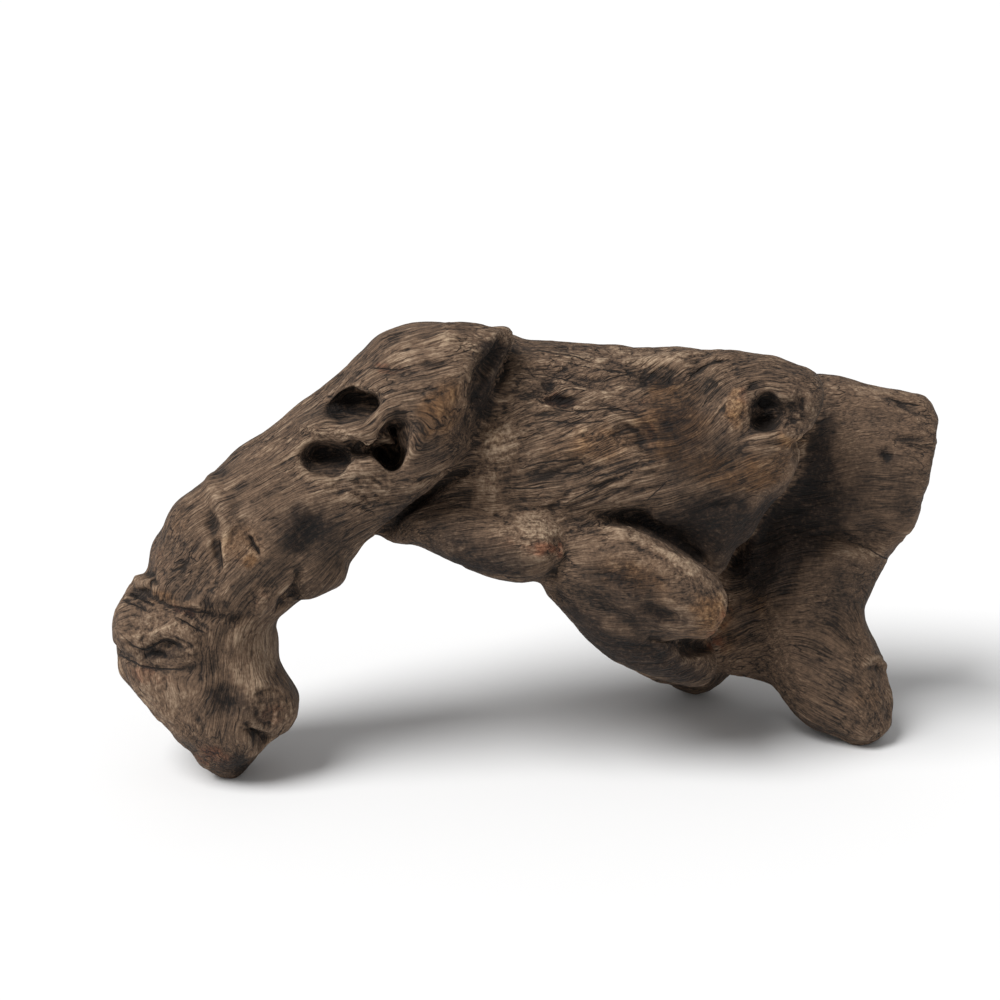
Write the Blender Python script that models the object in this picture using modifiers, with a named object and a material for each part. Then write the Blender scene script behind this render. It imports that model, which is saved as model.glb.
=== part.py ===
"""A weathered ebony driftwood log: a knotted arch of wood that stands on three feet.

The log is one grown piece, so it is one object. It is built as a wood carver would rough it
out. Limbs of changing oval section are laid along curved paths and melted into one skin.
Cutters open the hollows. Folds, ridges and furrows are then raised from the skin or sunk into
it by a formula, and the feet are trimmed flat. X runs to the right along the log, Y runs away
from the viewer, Z is up, and the feet stand on Z = 0.

Places on the front are given on a sight: a grid of 1000 by 1000 steps, looked through from
SIGHT_DISTANCE away and SIGHT_ANGLE above the horizon. Its steps count to the right and down,
and one step covers SIGHT_STEP at the log. Depths, and every other length, are millimetres.
"""

import itertools
import math

import bmesh
import bpy
import numpy as np
from mathutils import Vector
from mathutils.bvhtree import BVHTree

MM = 0.001

SIGHT_ANGLE = math.radians(18)
SIGHT_DISTANCE = 800.0
SIGHT_STEP = 0.3861
SIGHT_AIM = np.array([0.0, 40.0, 98.4])
LOOK = np.array([0.0, math.cos(SIGHT_ANGLE), -math.sin(SIGHT_ANGLE)])
UPRIGHT = np.array([0.0, math.sin(SIGHT_ANGLE), math.cos(SIGHT_ANGLE)])
EYE = SIGHT_AIM - SIGHT_DISTANCE * LOOK

SKIN_CELL = 1.7
FINE_CELL = 1.5
MELT_STEPS = 7
SOFTEN_STEPS = 2
FINAL_TRIANGLES = 11400
RING_SIDES = 28
RINGS_PER_STATION = 5
LIMB_SWELL = 1.0
FOOT_TRIM = 1.3
RAG_SIZE = 6.5
HOLLOW_RAG = 2.2
GOUGE_RAG = 1.4

FURROW_LENGTH = 46.0
FURROW_WIDTH = 9.0
FURROW_HEIGHT = 1.9
LUMP_SIZE = 26.0
LUMP_HEIGHT = 1.3

WOOD_COLOUR = (0.13, 0.085, 0.055, 1.0)
WOOD_ROUGHNESS = 0.85

# A limb: how far its first and last ends bulge, as a share of its radius, and its stations.
# A station is the place of the centre on the sight (right, down), its depth, the half width
# across the path in sight steps, and the half size from front to back.
LIMBS = {
    "lower_leg": (0.5, 0.6, [
        (232, 771, 2, 13, 8),
        (230, 750, 3, 36, 15),
        (232, 720, 4, 63, 22),
        (226, 684, 6, 72, 25),
        (203, 658, 8, 78, 26),
        (198, 632, 9, 78, 27),
        (206, 604, 10, 74, 27),
        (222, 578, 12, 66, 26),
    ]),
    "thigh": (0.45, 0.6, [
        (231, 570, 11, 69, 27),
        (253, 542, 13, 70, 28),
        (285, 509, 15, 73, 29),
        (317, 485, 16, 71, 29),
        (350, 461, 17, 71, 30),
        (381, 436, 17, 70, 31),
    ]),
    "knuckle": (0.6, 0.5, [
        (364, 449, 17, 70, 30),
        (392, 426, 15, 70, 31),
        (413, 403, 14, 70, 32),
        (432, 380, 14, 60, 31),
        (456, 362, 15, 45, 27),
        (476, 349, 18, 27, 20),
        (496, 341, 22, 12, 11),
    ]),
    "ledge": (0.5, 0.5, [
        (296, 535, 12, 58, 24),
        (305, 558, 11, 44, 21),
        (310, 577, 11, 27, 17),
    ]),
    "toe": (0.6, 0.6, [
        (262, 676, 8, 28, 18),
        (277, 702, 5, 25, 15),
        (275, 720, 5, 17, 11),
    ]),
    "trunk": (0.6, 0.35, [
        (410, 470, 38, 62, 25),
        (440, 456, 39, 84, 31),
        (480, 447, 38, 102, 35),
        (520, 443, 37, 101, 37),
        (560, 447, 35, 102, 37),
        (600, 449, 33, 101, 37),
        (640, 448, 30, 97, 35),
        (680, 443, 27, 93, 33),
        (720, 436, 23, 86, 29),
        (754, 420, 19, 67, 25),
        (780, 408, 17, 53, 20),
        (797, 407, 16, 39, 15),
        (807, 411, 16, 27, 11),
    ]),
    "flap": (0.6, 0.6, [
        (722, 464, 13, 58, 17),
        (714, 497, 14, 49, 15),
        (713, 518, 15, 43, 12),
        (708, 541, 16, 31, 10),
        (713, 555, 16, 20, 8),
        (718, 563, 16, 10, 6),
    ]),
    "core": (0.6, 0.4, [
        (520, 450, 54, 88, 28),
        (650, 446, 56, 78, 28),
        (765, 456, 58, 78, 26),
    ]),
    "roll": (0.5, 0.45, [
        (398, 512, 24, 20, 15),
        (440, 517, 18, 26, 20),
        (484, 530, 12, 33, 24),
        (522, 538, 9, 36, 25),
        (547, 540, 8, 32, 22),
    ]),
    "apron": (0.6, 0.5, [
        (450, 498, 27, 26, 22),
        (490, 506, 21, 28, 22),
        (530, 506, 19, 27, 22),
        (556, 510, 19, 20, 20),
    ]),
    "lip": (0.6, 0.4, [
        (545, 556, 10, 22, 13),
        (577, 557, 5, 33, 15),
        (612, 566, 2, 39, 16),
        (644, 580, 0, 39, 16),
        (680, 598, 0, 35, 15),
        (709, 611, 2, 29, 13),
    ]),
    "skirt": (0.6, 0.5, [
        (558, 568, 10, 19, 14),
        (586, 590, 9, 30, 18),
        (618, 609, 11, 37, 20),
        (650, 628, 19, 36, 21),
        (684, 645, 38, 26, 19),
    ]),
    "belly": (0.6, 0.5, [
        (598, 530, 46, 60, 30),
        (632, 574, 54, 72, 31),
        (664, 613, 62, 62, 27),
        (688, 643, 76, 44, 19),
        (703, 661, 87, 29, 12),
    ]),
    "saddle": (0.6, 0.6, [
        (660, 600, 64, 62, 22),
        (735, 612, 62, 60, 20),
        (800, 630, 54, 60, 20),
    ]),
    "plate": (0.6, 0.22, [
        (735, 450, 62, 81, 23),
        (800, 455, 60, 82, 22),
        (848, 463, 57, 79, 22),
        (892, 467, 54, 76, 20),
        (918, 472, 53, 69, 17),
    ]),
    "web": (0.5, 0.5, [
        (680, 520, 68, 52, 17),
        (750, 530, 71, 56, 16),
        (820, 520, 68, 52, 17),
    ]),
    "right_leg": (0.6, 0.55, [
        (812, 545, 57, 72, 22),
        (803, 600, 54, 60, 22),
        (814, 645, 48, 53, 21),
        (839, 687, 41, 49, 20),
        (858, 712, 35, 39, 16),
        (868, 731, 31, 26, 11),
    ]),
    "collar": (0.8, 0.8, [
        (144, 593, 6, 12, 10),
        (137, 616, 3, 20, 14),
        (135, 640, 4, 19, 13),
    ]),
    "collar_tail": (0.8, 0.8, [
        (132, 664, 5, 12, 9),
        (150, 676, 2, 14, 11),
    ]),
}

# A hollow: the direction of its long side, and its stations. A station is the place on the
# sight, the depth, the half length of the short side and the half length of the long side.
HOLLOWS = {
    "upper_hollow": ((1.0, 0.0, 0.2), [
        (346, 409, -40, 6.0, 13.0),
        (348, 409, -10, 5.6, 12.5),
        (359, 405, 6, 4.0, 8.0),
    ]),
    "lower_hollow": ((1.0, 0.0, -0.1), [
        (322, 460, -40, 7.0, 12.5),
        (325, 460, -10, 6.2, 11.5),
        (338, 457, 0, 4.0, 7.0),
    ]),
    "throat": ((0.0, 1.0, 0.0), [
        (338, 455, -14, 3.5, 8.0),
        (362, 451, -12, 3.0, 8.0),
        (390, 448, -8, 4.0, 8.0),
    ]),
    "deep_hollow": ((0.1, 0.0, 1.0), [
        (391, 445, -40, 6.0, 9.5),
        (391, 447, -8, 5.8, 9.0),
        (388, 450, 12, 4.0, 6.5),
    ]),
    "knot_hole": ((0.15, 0.0, 1.0), [
        (765, 411, -40, 7.2, 8.6),
        (765, 411, -3, 6.8, 8.0),
        (763, 413, 7, 4.0, 5.0),
    ]),
    "cave": ((0.0, 0.0, 1.0), [
        (842, 478, 20, 8.0, 9.0),
        (812, 500, 28, 10.0, 12.0),
        (775, 530, 34, 11.0, 12.0),
        (742, 560, 34, 9.0, 10.0),
        (714, 578, 34, 5.0, 6.0),
    ]),
}

# A gouge is a cutter laid along the front. A station is the place on the sight, the half
# width of the gouge and how deep it goes below the skin that is seen there.
GOUGES = {
    "knuckle_crease": [(514, 334, 2.4, 3), (504, 347, 4.2, 6), (493, 361, 5.0, 7), (483, 380, 4.6, 6),
                       (477, 400, 3.6, 5), (470, 424, 2.0, 3)],
    "knuckle_undercut": [(478, 462, 1.5, 2), (452, 478, 2.4, 5), (426, 496, 2.8, 7), (402, 514, 2.8, 7),
                         (380, 532, 2.4, 5)],
    "lip_crevice": [(590, 513, 1.6, 3), (608, 514, 2.6, 7), (632, 517, 3.4, 10), (662, 531, 3.2, 8),
                    (694, 552, 2.6, 5), (716, 573, 2.4, 4)],
    "roll_end": [(569, 540, 1.4, 2), (566, 556, 1.8, 3.5), (550, 578, 2.0, 4)],
    "lip_under": [(650, 637, 1.6, 3), (676, 645, 2.4, 5), (706, 646, 2.8, 6), (734, 634, 2.4, 5)],
    "collar_top": [(118, 590, 1.8, 4), (142, 593, 2.0, 4), (164, 606, 1.8, 3.5), (194, 613, 1.6, 3),
                   (226, 617, 2.2, 3.4), (246, 617, 2.0, 3)],
    "collar_seam": [(106, 652, 2.2, 5), (128, 656, 2.2, 4.4), (150, 668, 2.0, 3.4), (180, 670, 1.7, 2.6),
                    (206, 661, 1.5, 1.6)],
    "foot_cleft": [(240, 720, 1.6, 3), (252, 733, 2.6, 6), (270, 750, 3.0, 7)],
    "ledge_groove": [(300, 560, 1.8, 2), (292, 582, 2.6, 4), (282, 608, 3.0, 5)],
    "leg_groove": [(213, 498, 1.5, 2), (217, 530, 1.8, 3), (221, 566, 1.5, 2)],
    "leg_crack": [(246, 530, 1.4, 2), (254, 546, 1.8, 3), (262, 562, 1.4, 2)],
    "trunk_slit": [(538, 396, 1.5, 2), (558, 401, 2.2, 4), (580, 399, 1.4, 2)],
    "shin_notch": [(862, 668, 1.5, 3), (874, 665, 2.0, 4), (892, 663, 2.0, 4)],
    "plate_crease": [(882, 397, 1.4, 2), (906, 408, 2.0, 3.5), (938, 413, 1.8, 3)],
    "face_fold": [(664, 488, 1.4, 1.5), (716, 503, 1.8, 2.5), (764, 492, 1.6, 2)],
}

# A stroke follows the front of the log: how far it is raised (above 0) or sunk (below 0), its
# half width in sight steps, and the places on the sight that it passes through.
STROKES = {
    "crease_mouth": (-2.0, 14, [(506, 342), (480, 366), (474, 400)]),
    "knuckle_edge": (1.8, 9, [(468, 444), (438, 466), (410, 486), (376, 514)]),
    "knuckle_furrow": (-2.2, 8, [(372, 368), (412, 369), (452, 364)]),
    "knuckle_crown": (1.8, 10, [(430, 336), (466, 330), (492, 334)]),
    "bridge": (2.2, 7, [(296, 426), (334, 430), (372, 434)]),
    "scoop": (-3.0, 15, [(396, 408), (402, 440)]),
    "wrinkle_low": (-2.4, 6, [(322, 488), (350, 484), (370, 495), (400, 488)]),
    "wrinkle_high": (-2.0, 5, [(352, 474), (372, 480), (398, 474), (424, 470)]),
    "wrinkle_ridge": (1.8, 6, [(336, 480), (366, 486), (396, 481)]),
    "leg_ridge": (2.6, 7, [(208, 470), (226, 506), (232, 552)]),
    "ledge_dimple": (-2.0, 24, [(296, 524), (322, 536)]),
    "collar_knob": (2.0, 10, [(258, 606), (266, 606)]),
    "collar_fold": (2.8, 7, [(144, 642), (170, 630), (194, 638), (188, 654), (164, 658)]),
    "collar_dint": (-2.6, 7, [(150, 652), (174, 645)]),
    "ankle_fold": (1.6, 9, [(190, 600), (214, 596), (240, 600)]),
    "foot_hollow": (-2.6, 18, [(210, 700), (240, 698)]),
    "foot_ring": (1.6, 9, [(248, 704), (264, 689), (285, 694), (291, 712), (276, 728)]),
    "foot_pit": (-1.2, 8, [(264, 711), (273, 713)]),
    "trunk_blotch": (-2.0, 8, [(538, 387), (560, 388)]),
    "patch": (1.6, 19, [(490, 430), (496, 456)]),
    "patch_edge": (-1.4, 6, [(514, 418), (525, 438), (520, 460), (508, 480), (508, 506)]),
    "trunk_swirl": (-3.2, 11, [(612, 426), (638, 434), (654, 456)]),
    "trunk_wave_high": (-1.6, 8, [(520, 372), (580, 376), (640, 398), (676, 392)]),
    "trunk_wave_low": (-1.8, 9, [(516, 478), (560, 474), (610, 462), (650, 474)]),
    "trunk_wave_ridge": (1.6, 9, [(530, 448), (580, 446), (624, 474), (670, 456)]),
    "brow_recess": (-3.2, 11, [(616, 380), (650, 370), (680, 378)]),
    "brow": (2.0, 11, [(640, 356), (690, 358), (744, 362)]),
    "cheek": (2.0, 17, [(688, 396), (700, 440), (690, 474)]),
    "knot_rim": (1.8, 8, [(738, 392), (730, 416), (742, 440)]),
    "knot_crumble": (-1.4, 10, [(795, 398), (802, 418)]),
    "knot_sill": (2.6, 6, [(746, 441), (776, 436), (810, 433)]),
    "face_edge": (1.8, 7, [(803, 450), (784, 474), (764, 497)]),
    "lip_top": (1.8, 9, [(590, 536), (636, 545), (676, 568), (718, 594)]),
    "lip_slit": (-3.2, 8, [(638, 610), (660, 614), (680, 619)]),
    "lip_flute": (-1.8, 9, [(584, 570), (630, 584), (668, 600)]),
    "plate_crack": (-2.4, 6, [(900, 443), (932, 445)]),
    "plate_pit": (-3.0, 10, [(882, 455), (890, 458)]),
    "plate_ledge": (-2.6, 9, [(858, 520), (888, 538), (906, 550)]),
    "neck_fold": (1.8, 10, [(806, 562), (848, 552), (882, 568)]),
}
STROKE_WOBBLE = 5.0

# The three feet: their places on the sight, and their depths.
FEET = [(232, 772, 2), (703, 684, 88), (870, 738, 31)]
FOOT_REACH = 16.0

STROKE_REACH = 13.0


def clear_scene():
    for found in list(bpy.data.objects):
        bpy.data.objects.remove(found, do_unlink=True)


def new_collection(name):
    made = bpy.data.collections.new(name)
    bpy.context.scene.collection.children.link(made)
    return made


def through_sight(right, down, depth):
    """The point at this depth that is seen through this place of the sight."""
    ray = LOOK + (SIGHT_STEP / SIGHT_DISTANCE) * np.array([right - 500.0, 0.0, 0.0])
    ray = ray - (SIGHT_STEP / SIGHT_DISTANCE) * (down - 500.0) * UPRIGHT
    return EYE + ray * (depth - EYE[1]) / ray[1]


def on_sight(points):
    """Where points are seen on the sight (right, down), and their distance along the look."""
    away = (points - EYE) @ LOOK
    scale = SIGHT_DISTANCE / (SIGHT_STEP * away)
    return np.stack([500 + (points - EYE)[:, 0] * scale, 500 - ((points - EYE) @ UPRIGHT) * scale], 1), away


def in_millimetres(stations):
    """Stations x, y, z, half width, half depth, with the sight's steps turned into lengths."""
    rows = []
    for right, down, depth, half_width, half_depth in stations:
        centre = through_sight(right, down, depth)
        step = SIGHT_STEP * ((centre - EYE) @ LOOK) / SIGHT_DISTANCE
        rows.append((*centre, half_width * step + LIMB_SWELL, half_depth + LIMB_SWELL))
    return rows


def smooth_stations(stations):
    """Points between the stations on a Catmull-Rom spline through all their values."""
    rows = np.array(stations, float)
    padded = np.vstack([2 * rows[0] - rows[1], rows, 2 * rows[-1] - rows[-2]])
    found = []
    for i in range(len(rows) - 1):
        a, b, c, d = padded[i : i + 4]
        t = np.linspace(0, 1, RINGS_PER_STATION, endpoint=False)[:, None]
        bend, twist = 2 * a - 5 * b + 4 * c - d, 3 * b - 3 * c + d - a
        found.append(0.5 * (2 * b + (c - a) * t + bend * t**2 + twist * t**3))
    return np.vstack([*found, rows[-1:]])


def domed(rings, tangents, bulges):
    """Three shrinking rings past each end, so that a limb ends in a dome or a blunt face."""
    before, after = [], []
    for angle in (0.45, 0.9, 1.3):
        for end, side, store in ((0, -1, before), (-1, 1, after)):
            ring = rings[end].copy()
            reach = bulges[end] * min(ring[3], ring[4])
            ring[:3] += side * tangents[end] * reach * math.sin(angle)
            ring[3:] *= math.cos(angle)
            store.append(ring)
    return np.vstack([*before[::-1], rings, *after])


def frames_along(rings, across):
    """The unit directions of every ring: along the path, and of its first and last size."""
    along = np.gradient(rings[:, :3], axis=0)
    along /= np.linalg.norm(along, axis=1, keepdims=True)
    across = np.array(across, float)
    last = across - (along @ across)[:, None] * along
    last /= np.linalg.norm(last, axis=1, keepdims=True)
    return along, np.cross(last, along), last


def loft(name, stations, across, bulges, collection, ragged=0.0):
    """A closed tube of oval rings on a curved path; across is the direction of a ring's last size.

    Ragged is how far smooth noise moves its surface.
    """
    rings = smooth_stations(stations)
    along, first, last = frames_along(rings, across)
    rings = domed(rings, along, bulges)
    first, last = (np.vstack([v[[0] * 3], v, v[[-1] * 3]]) for v in (first, last))
    turn = np.linspace(0, 2 * math.pi, RING_SIDES, endpoint=False)
    points = (
        rings[:, None, :3]
        + np.cos(turn)[None, :, None] * (rings[:, 3, None] * first)[:, None]
        + np.sin(turn)[None, :, None] * (rings[:, 4, None] * last)[:, None]
    )
    points = points.reshape(-1, 3)
    if ragged:
        points = points + ragged * np.stack([value_noise(points / RAG_SIZE, 20 + i) for i in range(3)], 1)
    grid = np.arange(len(rings) * RING_SIDES).reshape(len(rings), RING_SIDES)
    beside = np.roll(grid, -1, axis=1)
    quads = np.stack([grid[:-1], beside[:-1], beside[1:], grid[1:]], -1).reshape(-1, 4)
    faces = [*quads.tolist(), grid[0][::-1].tolist(), grid[-1].tolist()]
    mesh = bpy.data.meshes.new(name)
    mesh.from_pydata((points * MM).tolist(), [], faces)
    made = bpy.data.objects.new(name, mesh)
    collection.objects.link(made)
    return made


def add_voxels(target, name, cell):
    step = target.modifiers.new(name, "REMESH")
    step.mode = "VOXEL"
    step.voxel_size = cell * MM
    return step


def add_melt(target, name, steps):
    step = target.modifiers.new(name, "SMOOTH")
    step.factor = 0.5
    step.iterations = steps
    return step


def joined(name, pieces, collection):
    """One object that holds the faces of all the pieces, which are removed."""
    points, faces, offset = [], [], 0
    for piece in pieces:
        points += [vertex.co[:] for vertex in piece.data.vertices]
        faces += [[offset + i for i in polygon.vertices] for polygon in piece.data.polygons]
        offset = len(points)
        bpy.data.objects.remove(piece)
    mesh = bpy.data.meshes.new(name)
    mesh.from_pydata(points, [], faces)
    made = bpy.data.objects.new(name, mesh)
    collection.objects.link(made)
    return made


def settled(target):
    """Replaces the object's mesh with what its modifiers make of it."""
    graph = bpy.context.evaluated_depsgraph_get()
    mesh = bpy.data.meshes.new_from_object(target.evaluated_get(graph))
    target.modifiers.clear()
    target.data = mesh
    return target


def vertex_values(mesh, attribute):
    values = np.empty(len(mesh.vertices) * 3)
    mesh.vertices.foreach_get(attribute, values)
    return values.reshape(-1, 3)


def value_noise(points, seed):
    """Smooth noise from -1 to 1: a random number at every whole place, eased in between."""
    cell = np.floor(points).astype(np.int64)
    part = points - cell
    part = part * part * (3 - 2 * part)
    total = np.zeros(len(points))
    for corner in itertools.product((0, 1), repeat=3):
        place = cell + corner
        mixed = place[:, 0] * 73856093 ^ place[:, 1] * 19349663 ^ place[:, 2] * 83492791 ^ seed * 6151
        mixed = (mixed ^ (mixed >> 13)) * 1274126177 & 0xFFFFFFFF
        mixed ^= mixed >> 15
        weight = np.prod(np.where(corner, part, 1 - part), axis=1)
        total += weight * ((mixed & 0xFFFF) / 32767.5 - 1)
    return total


def furrows(points):
    """Height of the furrows: noise that is stretched along the path of the nearest limbs.

    Each limb gives a point its distance along the path and its offset from the path. The
    noise is read there, and the limbs share the point by their distance in limb radii.
    """
    heights, shares = [], []
    for number, (_, _, stations) in enumerate(LIMBS.values()):
        rings = smooth_stations(in_millimetres(stations))
        _, first, last = frames_along(rings, (0, 1, 0))
        length = np.concatenate([[0], np.cumsum(np.linalg.norm(np.diff(rings[:, :3], axis=0), axis=1))])
        gaps = np.linalg.norm(points[:, None] - rings[None, :, :3], axis=2)
        nearest = gaps.argmin(1)
        offset = points - rings[nearest, :3]
        soft = np.exp(-((gaps - gaps.min(1)[:, None]) / 4.0))
        soft /= soft.sum(1, keepdims=True)
        place = np.stack(
            [
                soft @ length / FURROW_LENGTH,
                (offset * first[nearest]).sum(1) / FURROW_WIDTH,
                (offset * last[nearest]).sum(1) / FURROW_WIDTH,
            ],
            1,
        )
        wave = value_noise(place, 11 + number)
        heights.append(0.6 * wave + 0.8 * (0.4 - np.abs(value_noise(place * (0.8, 1.7, 1.7), 31 + number))))
        shares.append(-9 * gaps.min(1) / np.minimum(rings[nearest, 3], rings[nearest, 4]))
    shares = np.array(shares)
    shares = np.exp(shares - shares.max(0))
    return FURROW_HEIGHT * (np.array(heights) * shares).sum(0) / shares.sum(0)


def stroke_heights(points, normals):
    """Height of all the strokes: each is a bell across its line, on the surface seen first.

    The bell fades towards both ends of the line, and its place wobbles by smooth noise.
    """
    sight, away = on_sight(points)
    sight = sight + STROKE_WOBBLE * np.stack([value_noise(points / 9, 5), value_noise(points / 9, 6)], 1)
    facing = np.clip(-(normals @ LOOK) * 2.5, 0, 1)
    total = np.zeros(len(points))
    for height, half_width, line in STROKES.values():
        line = smooth_stations(line)
        legs = np.diff(line, axis=0)
        run = np.concatenate([[0], np.cumsum(np.linalg.norm(legs, axis=1))])
        marks = [away[(np.abs(sight - mark) < 5).all(1) & (facing > 0.2)] for mark in line]
        marks = np.array([found.min() if len(found) else np.nan for found in marks])
        marks = np.where(np.isnan(marks), np.nanmedian(marks), marks)
        gap, depth, along = (np.full(len(points), fill) for fill in (1e9, 0.0, 0.0))
        for i, leg in enumerate(legs):
            share = np.clip((sight - line[i]) @ leg / (leg @ leg), 0, 1)
            distance = np.linalg.norm(sight - line[i] - share[:, None] * leg, axis=1)
            closer = distance < gap
            gap = np.where(closer, distance, gap)
            depth = np.where(closer, marks[i] + share * (marks[i + 1] - marks[i]), depth)
            along = np.where(closer, (run[i] + share * (run[i + 1] - run[i])) / run[-1], along)
        taper = np.clip(0.35 + 3.0 * np.minimum(along, 1 - along), 0, 1)
        behind = np.clip(1.6 - np.abs(away - depth) / STROKE_REACH, 0, 1)
        total += height * taper * np.exp(-((gap / (half_width * taper)) ** 2)) * behind * facing
    return total


def reach_floor(points):
    """Draws every foot down, until its lowest point is FOOT_TRIM below the floor."""
    for right, down, depth in FEET:
        middle = through_sight(right, down, depth)
        gap = np.linalg.norm((points - middle)[:, :2], axis=1)
        under = points[(gap < FOOT_REACH) & (points[:, 2] < FOOT_REACH)]
        lowest = under[under[:, 2].argmin()].copy()
        share = np.exp(-(np.linalg.norm((points - lowest) / (1, 1, 2), axis=1) / FOOT_REACH) ** 2)
        points[:, 2] -= (lowest[2] + FOOT_TRIM) * share
    return points


def raise_relief(target):
    """Moves every vertex along its normal by the furrows, the lumps and the strokes."""
    mesh = target.data
    points, normals = vertex_values(mesh, "co") / MM, vertex_values(mesh, "normal")
    lumps = LUMP_HEIGHT * value_noise(points / LUMP_SIZE, 3)
    height = furrows(points) + lumps + stroke_heights(points, normals)
    points = reach_floor(points + normals * height[:, None])
    mesh.vertices.foreach_set("co", (points * MM).ravel())
    mesh.update()


def add_floor_trim(target, collection):
    """Cuts the feet flat on Z = 0."""
    side, depth = 1200 * MM, 30 * MM
    box = bmesh.new()
    bmesh.ops.create_cube(box, size=1.0)
    bmesh.ops.scale(box, vec=(side, side, depth), verts=box.verts)
    bmesh.ops.translate(box, vec=(0, 0, -depth / 2), verts=box.verts)
    mesh = bpy.data.meshes.new("floor")
    box.to_mesh(mesh)
    box.free()
    floor = bpy.data.objects.new("floor", mesh)
    floor.hide_render = True
    floor.display_type = "WIRE"
    collection.objects.link(floor)
    trim = target.modifiers.new("floor_trim", "BOOLEAN")
    trim.operation = "DIFFERENCE"
    trim.object = floor


def centre(target):
    """Puts the middle of the log's outline over the origin."""
    points = vertex_values(target.data, "co")
    points[:, :2] -= (points.min(0) + points.max(0))[:2] / 2
    target.data.vertices.foreach_set("co", points.ravel())
    target.data.update()


def wood():
    made = bpy.data.materials.new("ebony_wood")
    made.use_nodes = True
    shader = made.node_tree.nodes["Principled BSDF"]
    shader.inputs["Base Color"].default_value = WOOD_COLOUR
    shader.inputs["Roughness"].default_value = WOOD_ROUGHNESS
    shader.inputs["Metallic"].default_value = 0.0
    return made


def hollow_cutters(collection):
    made = []
    for name, (long_side, stations) in HOLLOWS.items():
        rows = [(*through_sight(*place), short, long) for *place, short, long in stations]
        made.append(loft(name, rows, long_side, (0.6, 0.6), collection, HOLLOW_RAG))
    return made


def gouge_cutters(skin, collection):
    """Flattened tubes that follow the skin, each as deep below it as its stations say."""
    points = [(v.co / MM)[:] for v in skin.data.vertices]
    tree = BVHTree.FromPolygons(points, [p.vertices[:] for p in skin.data.polygons])
    made = []
    for name, stations in GOUGES.items():
        rows = []
        for right, down, half_width, depth in stations:
            ray = through_sight(right, down, 0) - EYE
            seen = tree.ray_cast(Vector(EYE), Vector(ray))[0]
            if seen is None:
                seen = tree.find_nearest(Vector(through_sight(right, down, rows[-1][1] if rows else 0)))[0]
            rows.append((*seen, half_width, depth))
        made.append(loft(name, rows, LOOK, (0.8, 0.8), collection, GOUGE_RAG))
    return made


def build_log():
    collection = new_collection("ebony_log")
    cutters = new_collection("cutters")
    limbs = []
    for name, (first_bulge, last_bulge, stations) in LIMBS.items():
        limbs.append(loft(name, in_millimetres(stations), (0, 1, 0), (first_bulge, last_bulge), collection))
    log = joined("ebony_log", limbs, collection)
    add_voxels(log, "skin", SKIN_CELL)
    add_melt(log, "melt", MELT_STEPS)
    settled(log)
    for cutter in [*hollow_cutters(cutters), *gouge_cutters(log, cutters)]:
        cutter.hide_render = True
        cutter.display_type = "WIRE"
    carve = log.modifiers.new("hollows", "BOOLEAN")
    carve.operation = "DIFFERENCE"
    carve.operand_type = "COLLECTION"
    carve.collection = cutters
    add_voxels(log, "fine_skin", FINE_CELL)
    add_melt(log, "soften", SOFTEN_STEPS)
    settled(log)
    raise_relief(log)
    fewer = log.modifiers.new("fewer", "DECIMATE")
    fewer.ratio = FINAL_TRIANGLES / sum(len(p.vertices) - 2 for p in log.data.polygons)
    add_floor_trim(log, cutters)
    settled(log)
    centre(log)
    return log


def main():
    clear_scene()
    log = build_log()
    log.data.materials.clear()
    log.data.materials.append(wood())


main()
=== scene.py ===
"""A weathered ebony driftwood log on a plain stage.

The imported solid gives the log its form. Its skin is copied and made finer, moved a little in
places, and then worked as whole arrays: a grain direction is laid over it, coordinates that
follow the grain are solved on the skin, and furrows, folds, cracks and stains are raised or
painted along them.

Places on the front are given on a sight: a grid of 1000 by 1000 steps, looked through from
SIGHT_DISTANCE away and SIGHT_ANGLE above the horizon. Its steps count to the right and down.
Lengths are millimetres wherever a name says nothing else.
"""

import itertools
import math

import bmesh
import bpy
import numpy as np
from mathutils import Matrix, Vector


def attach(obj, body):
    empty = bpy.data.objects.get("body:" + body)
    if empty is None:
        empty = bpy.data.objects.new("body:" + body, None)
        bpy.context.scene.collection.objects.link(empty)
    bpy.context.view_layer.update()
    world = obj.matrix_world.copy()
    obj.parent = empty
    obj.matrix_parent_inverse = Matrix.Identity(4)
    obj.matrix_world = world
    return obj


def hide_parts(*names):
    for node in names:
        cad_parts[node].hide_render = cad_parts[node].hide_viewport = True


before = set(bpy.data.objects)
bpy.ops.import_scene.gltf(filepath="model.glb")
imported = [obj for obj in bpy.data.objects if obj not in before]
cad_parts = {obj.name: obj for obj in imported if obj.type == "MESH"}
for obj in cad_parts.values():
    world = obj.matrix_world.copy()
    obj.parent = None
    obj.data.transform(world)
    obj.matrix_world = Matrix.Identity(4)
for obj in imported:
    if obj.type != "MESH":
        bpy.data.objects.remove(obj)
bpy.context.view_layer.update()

bl_info = {
    "name": "Driftwood Log",
    "version": (1, 0, 0),
    "blender": (4, 5, 0),
    "location": "3D View > Sidebar > Driftwood",
    "description": "A weathered log with flowing grain, hollows and cracks, on a plain stage",
    "category": "Add Mesh",
}

MM = 0.001
LOG_NODE = "ebony_log"
MOST_TRIANGLES = 198000

SIGHT_SIDE = 1000
SIGHT_MIDDLE = 500.0
SIGHT_ANGLE = math.radians(18)
SIGHT_DISTANCE = 800.0
SIGHT_STEP = 0.3861
SIGHT_AIM = np.array([-12.5, 2.0, 98.4])
LOOK = np.array([0.0, math.cos(SIGHT_ANGLE), -math.sin(SIGHT_ANGLE)])
UPRIGHT = np.array([0.0, math.sin(SIGHT_ANGLE), math.cos(SIGHT_ANGLE)])
EYE = SIGHT_AIM - SIGHT_DISTANCE * LOOK

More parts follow.
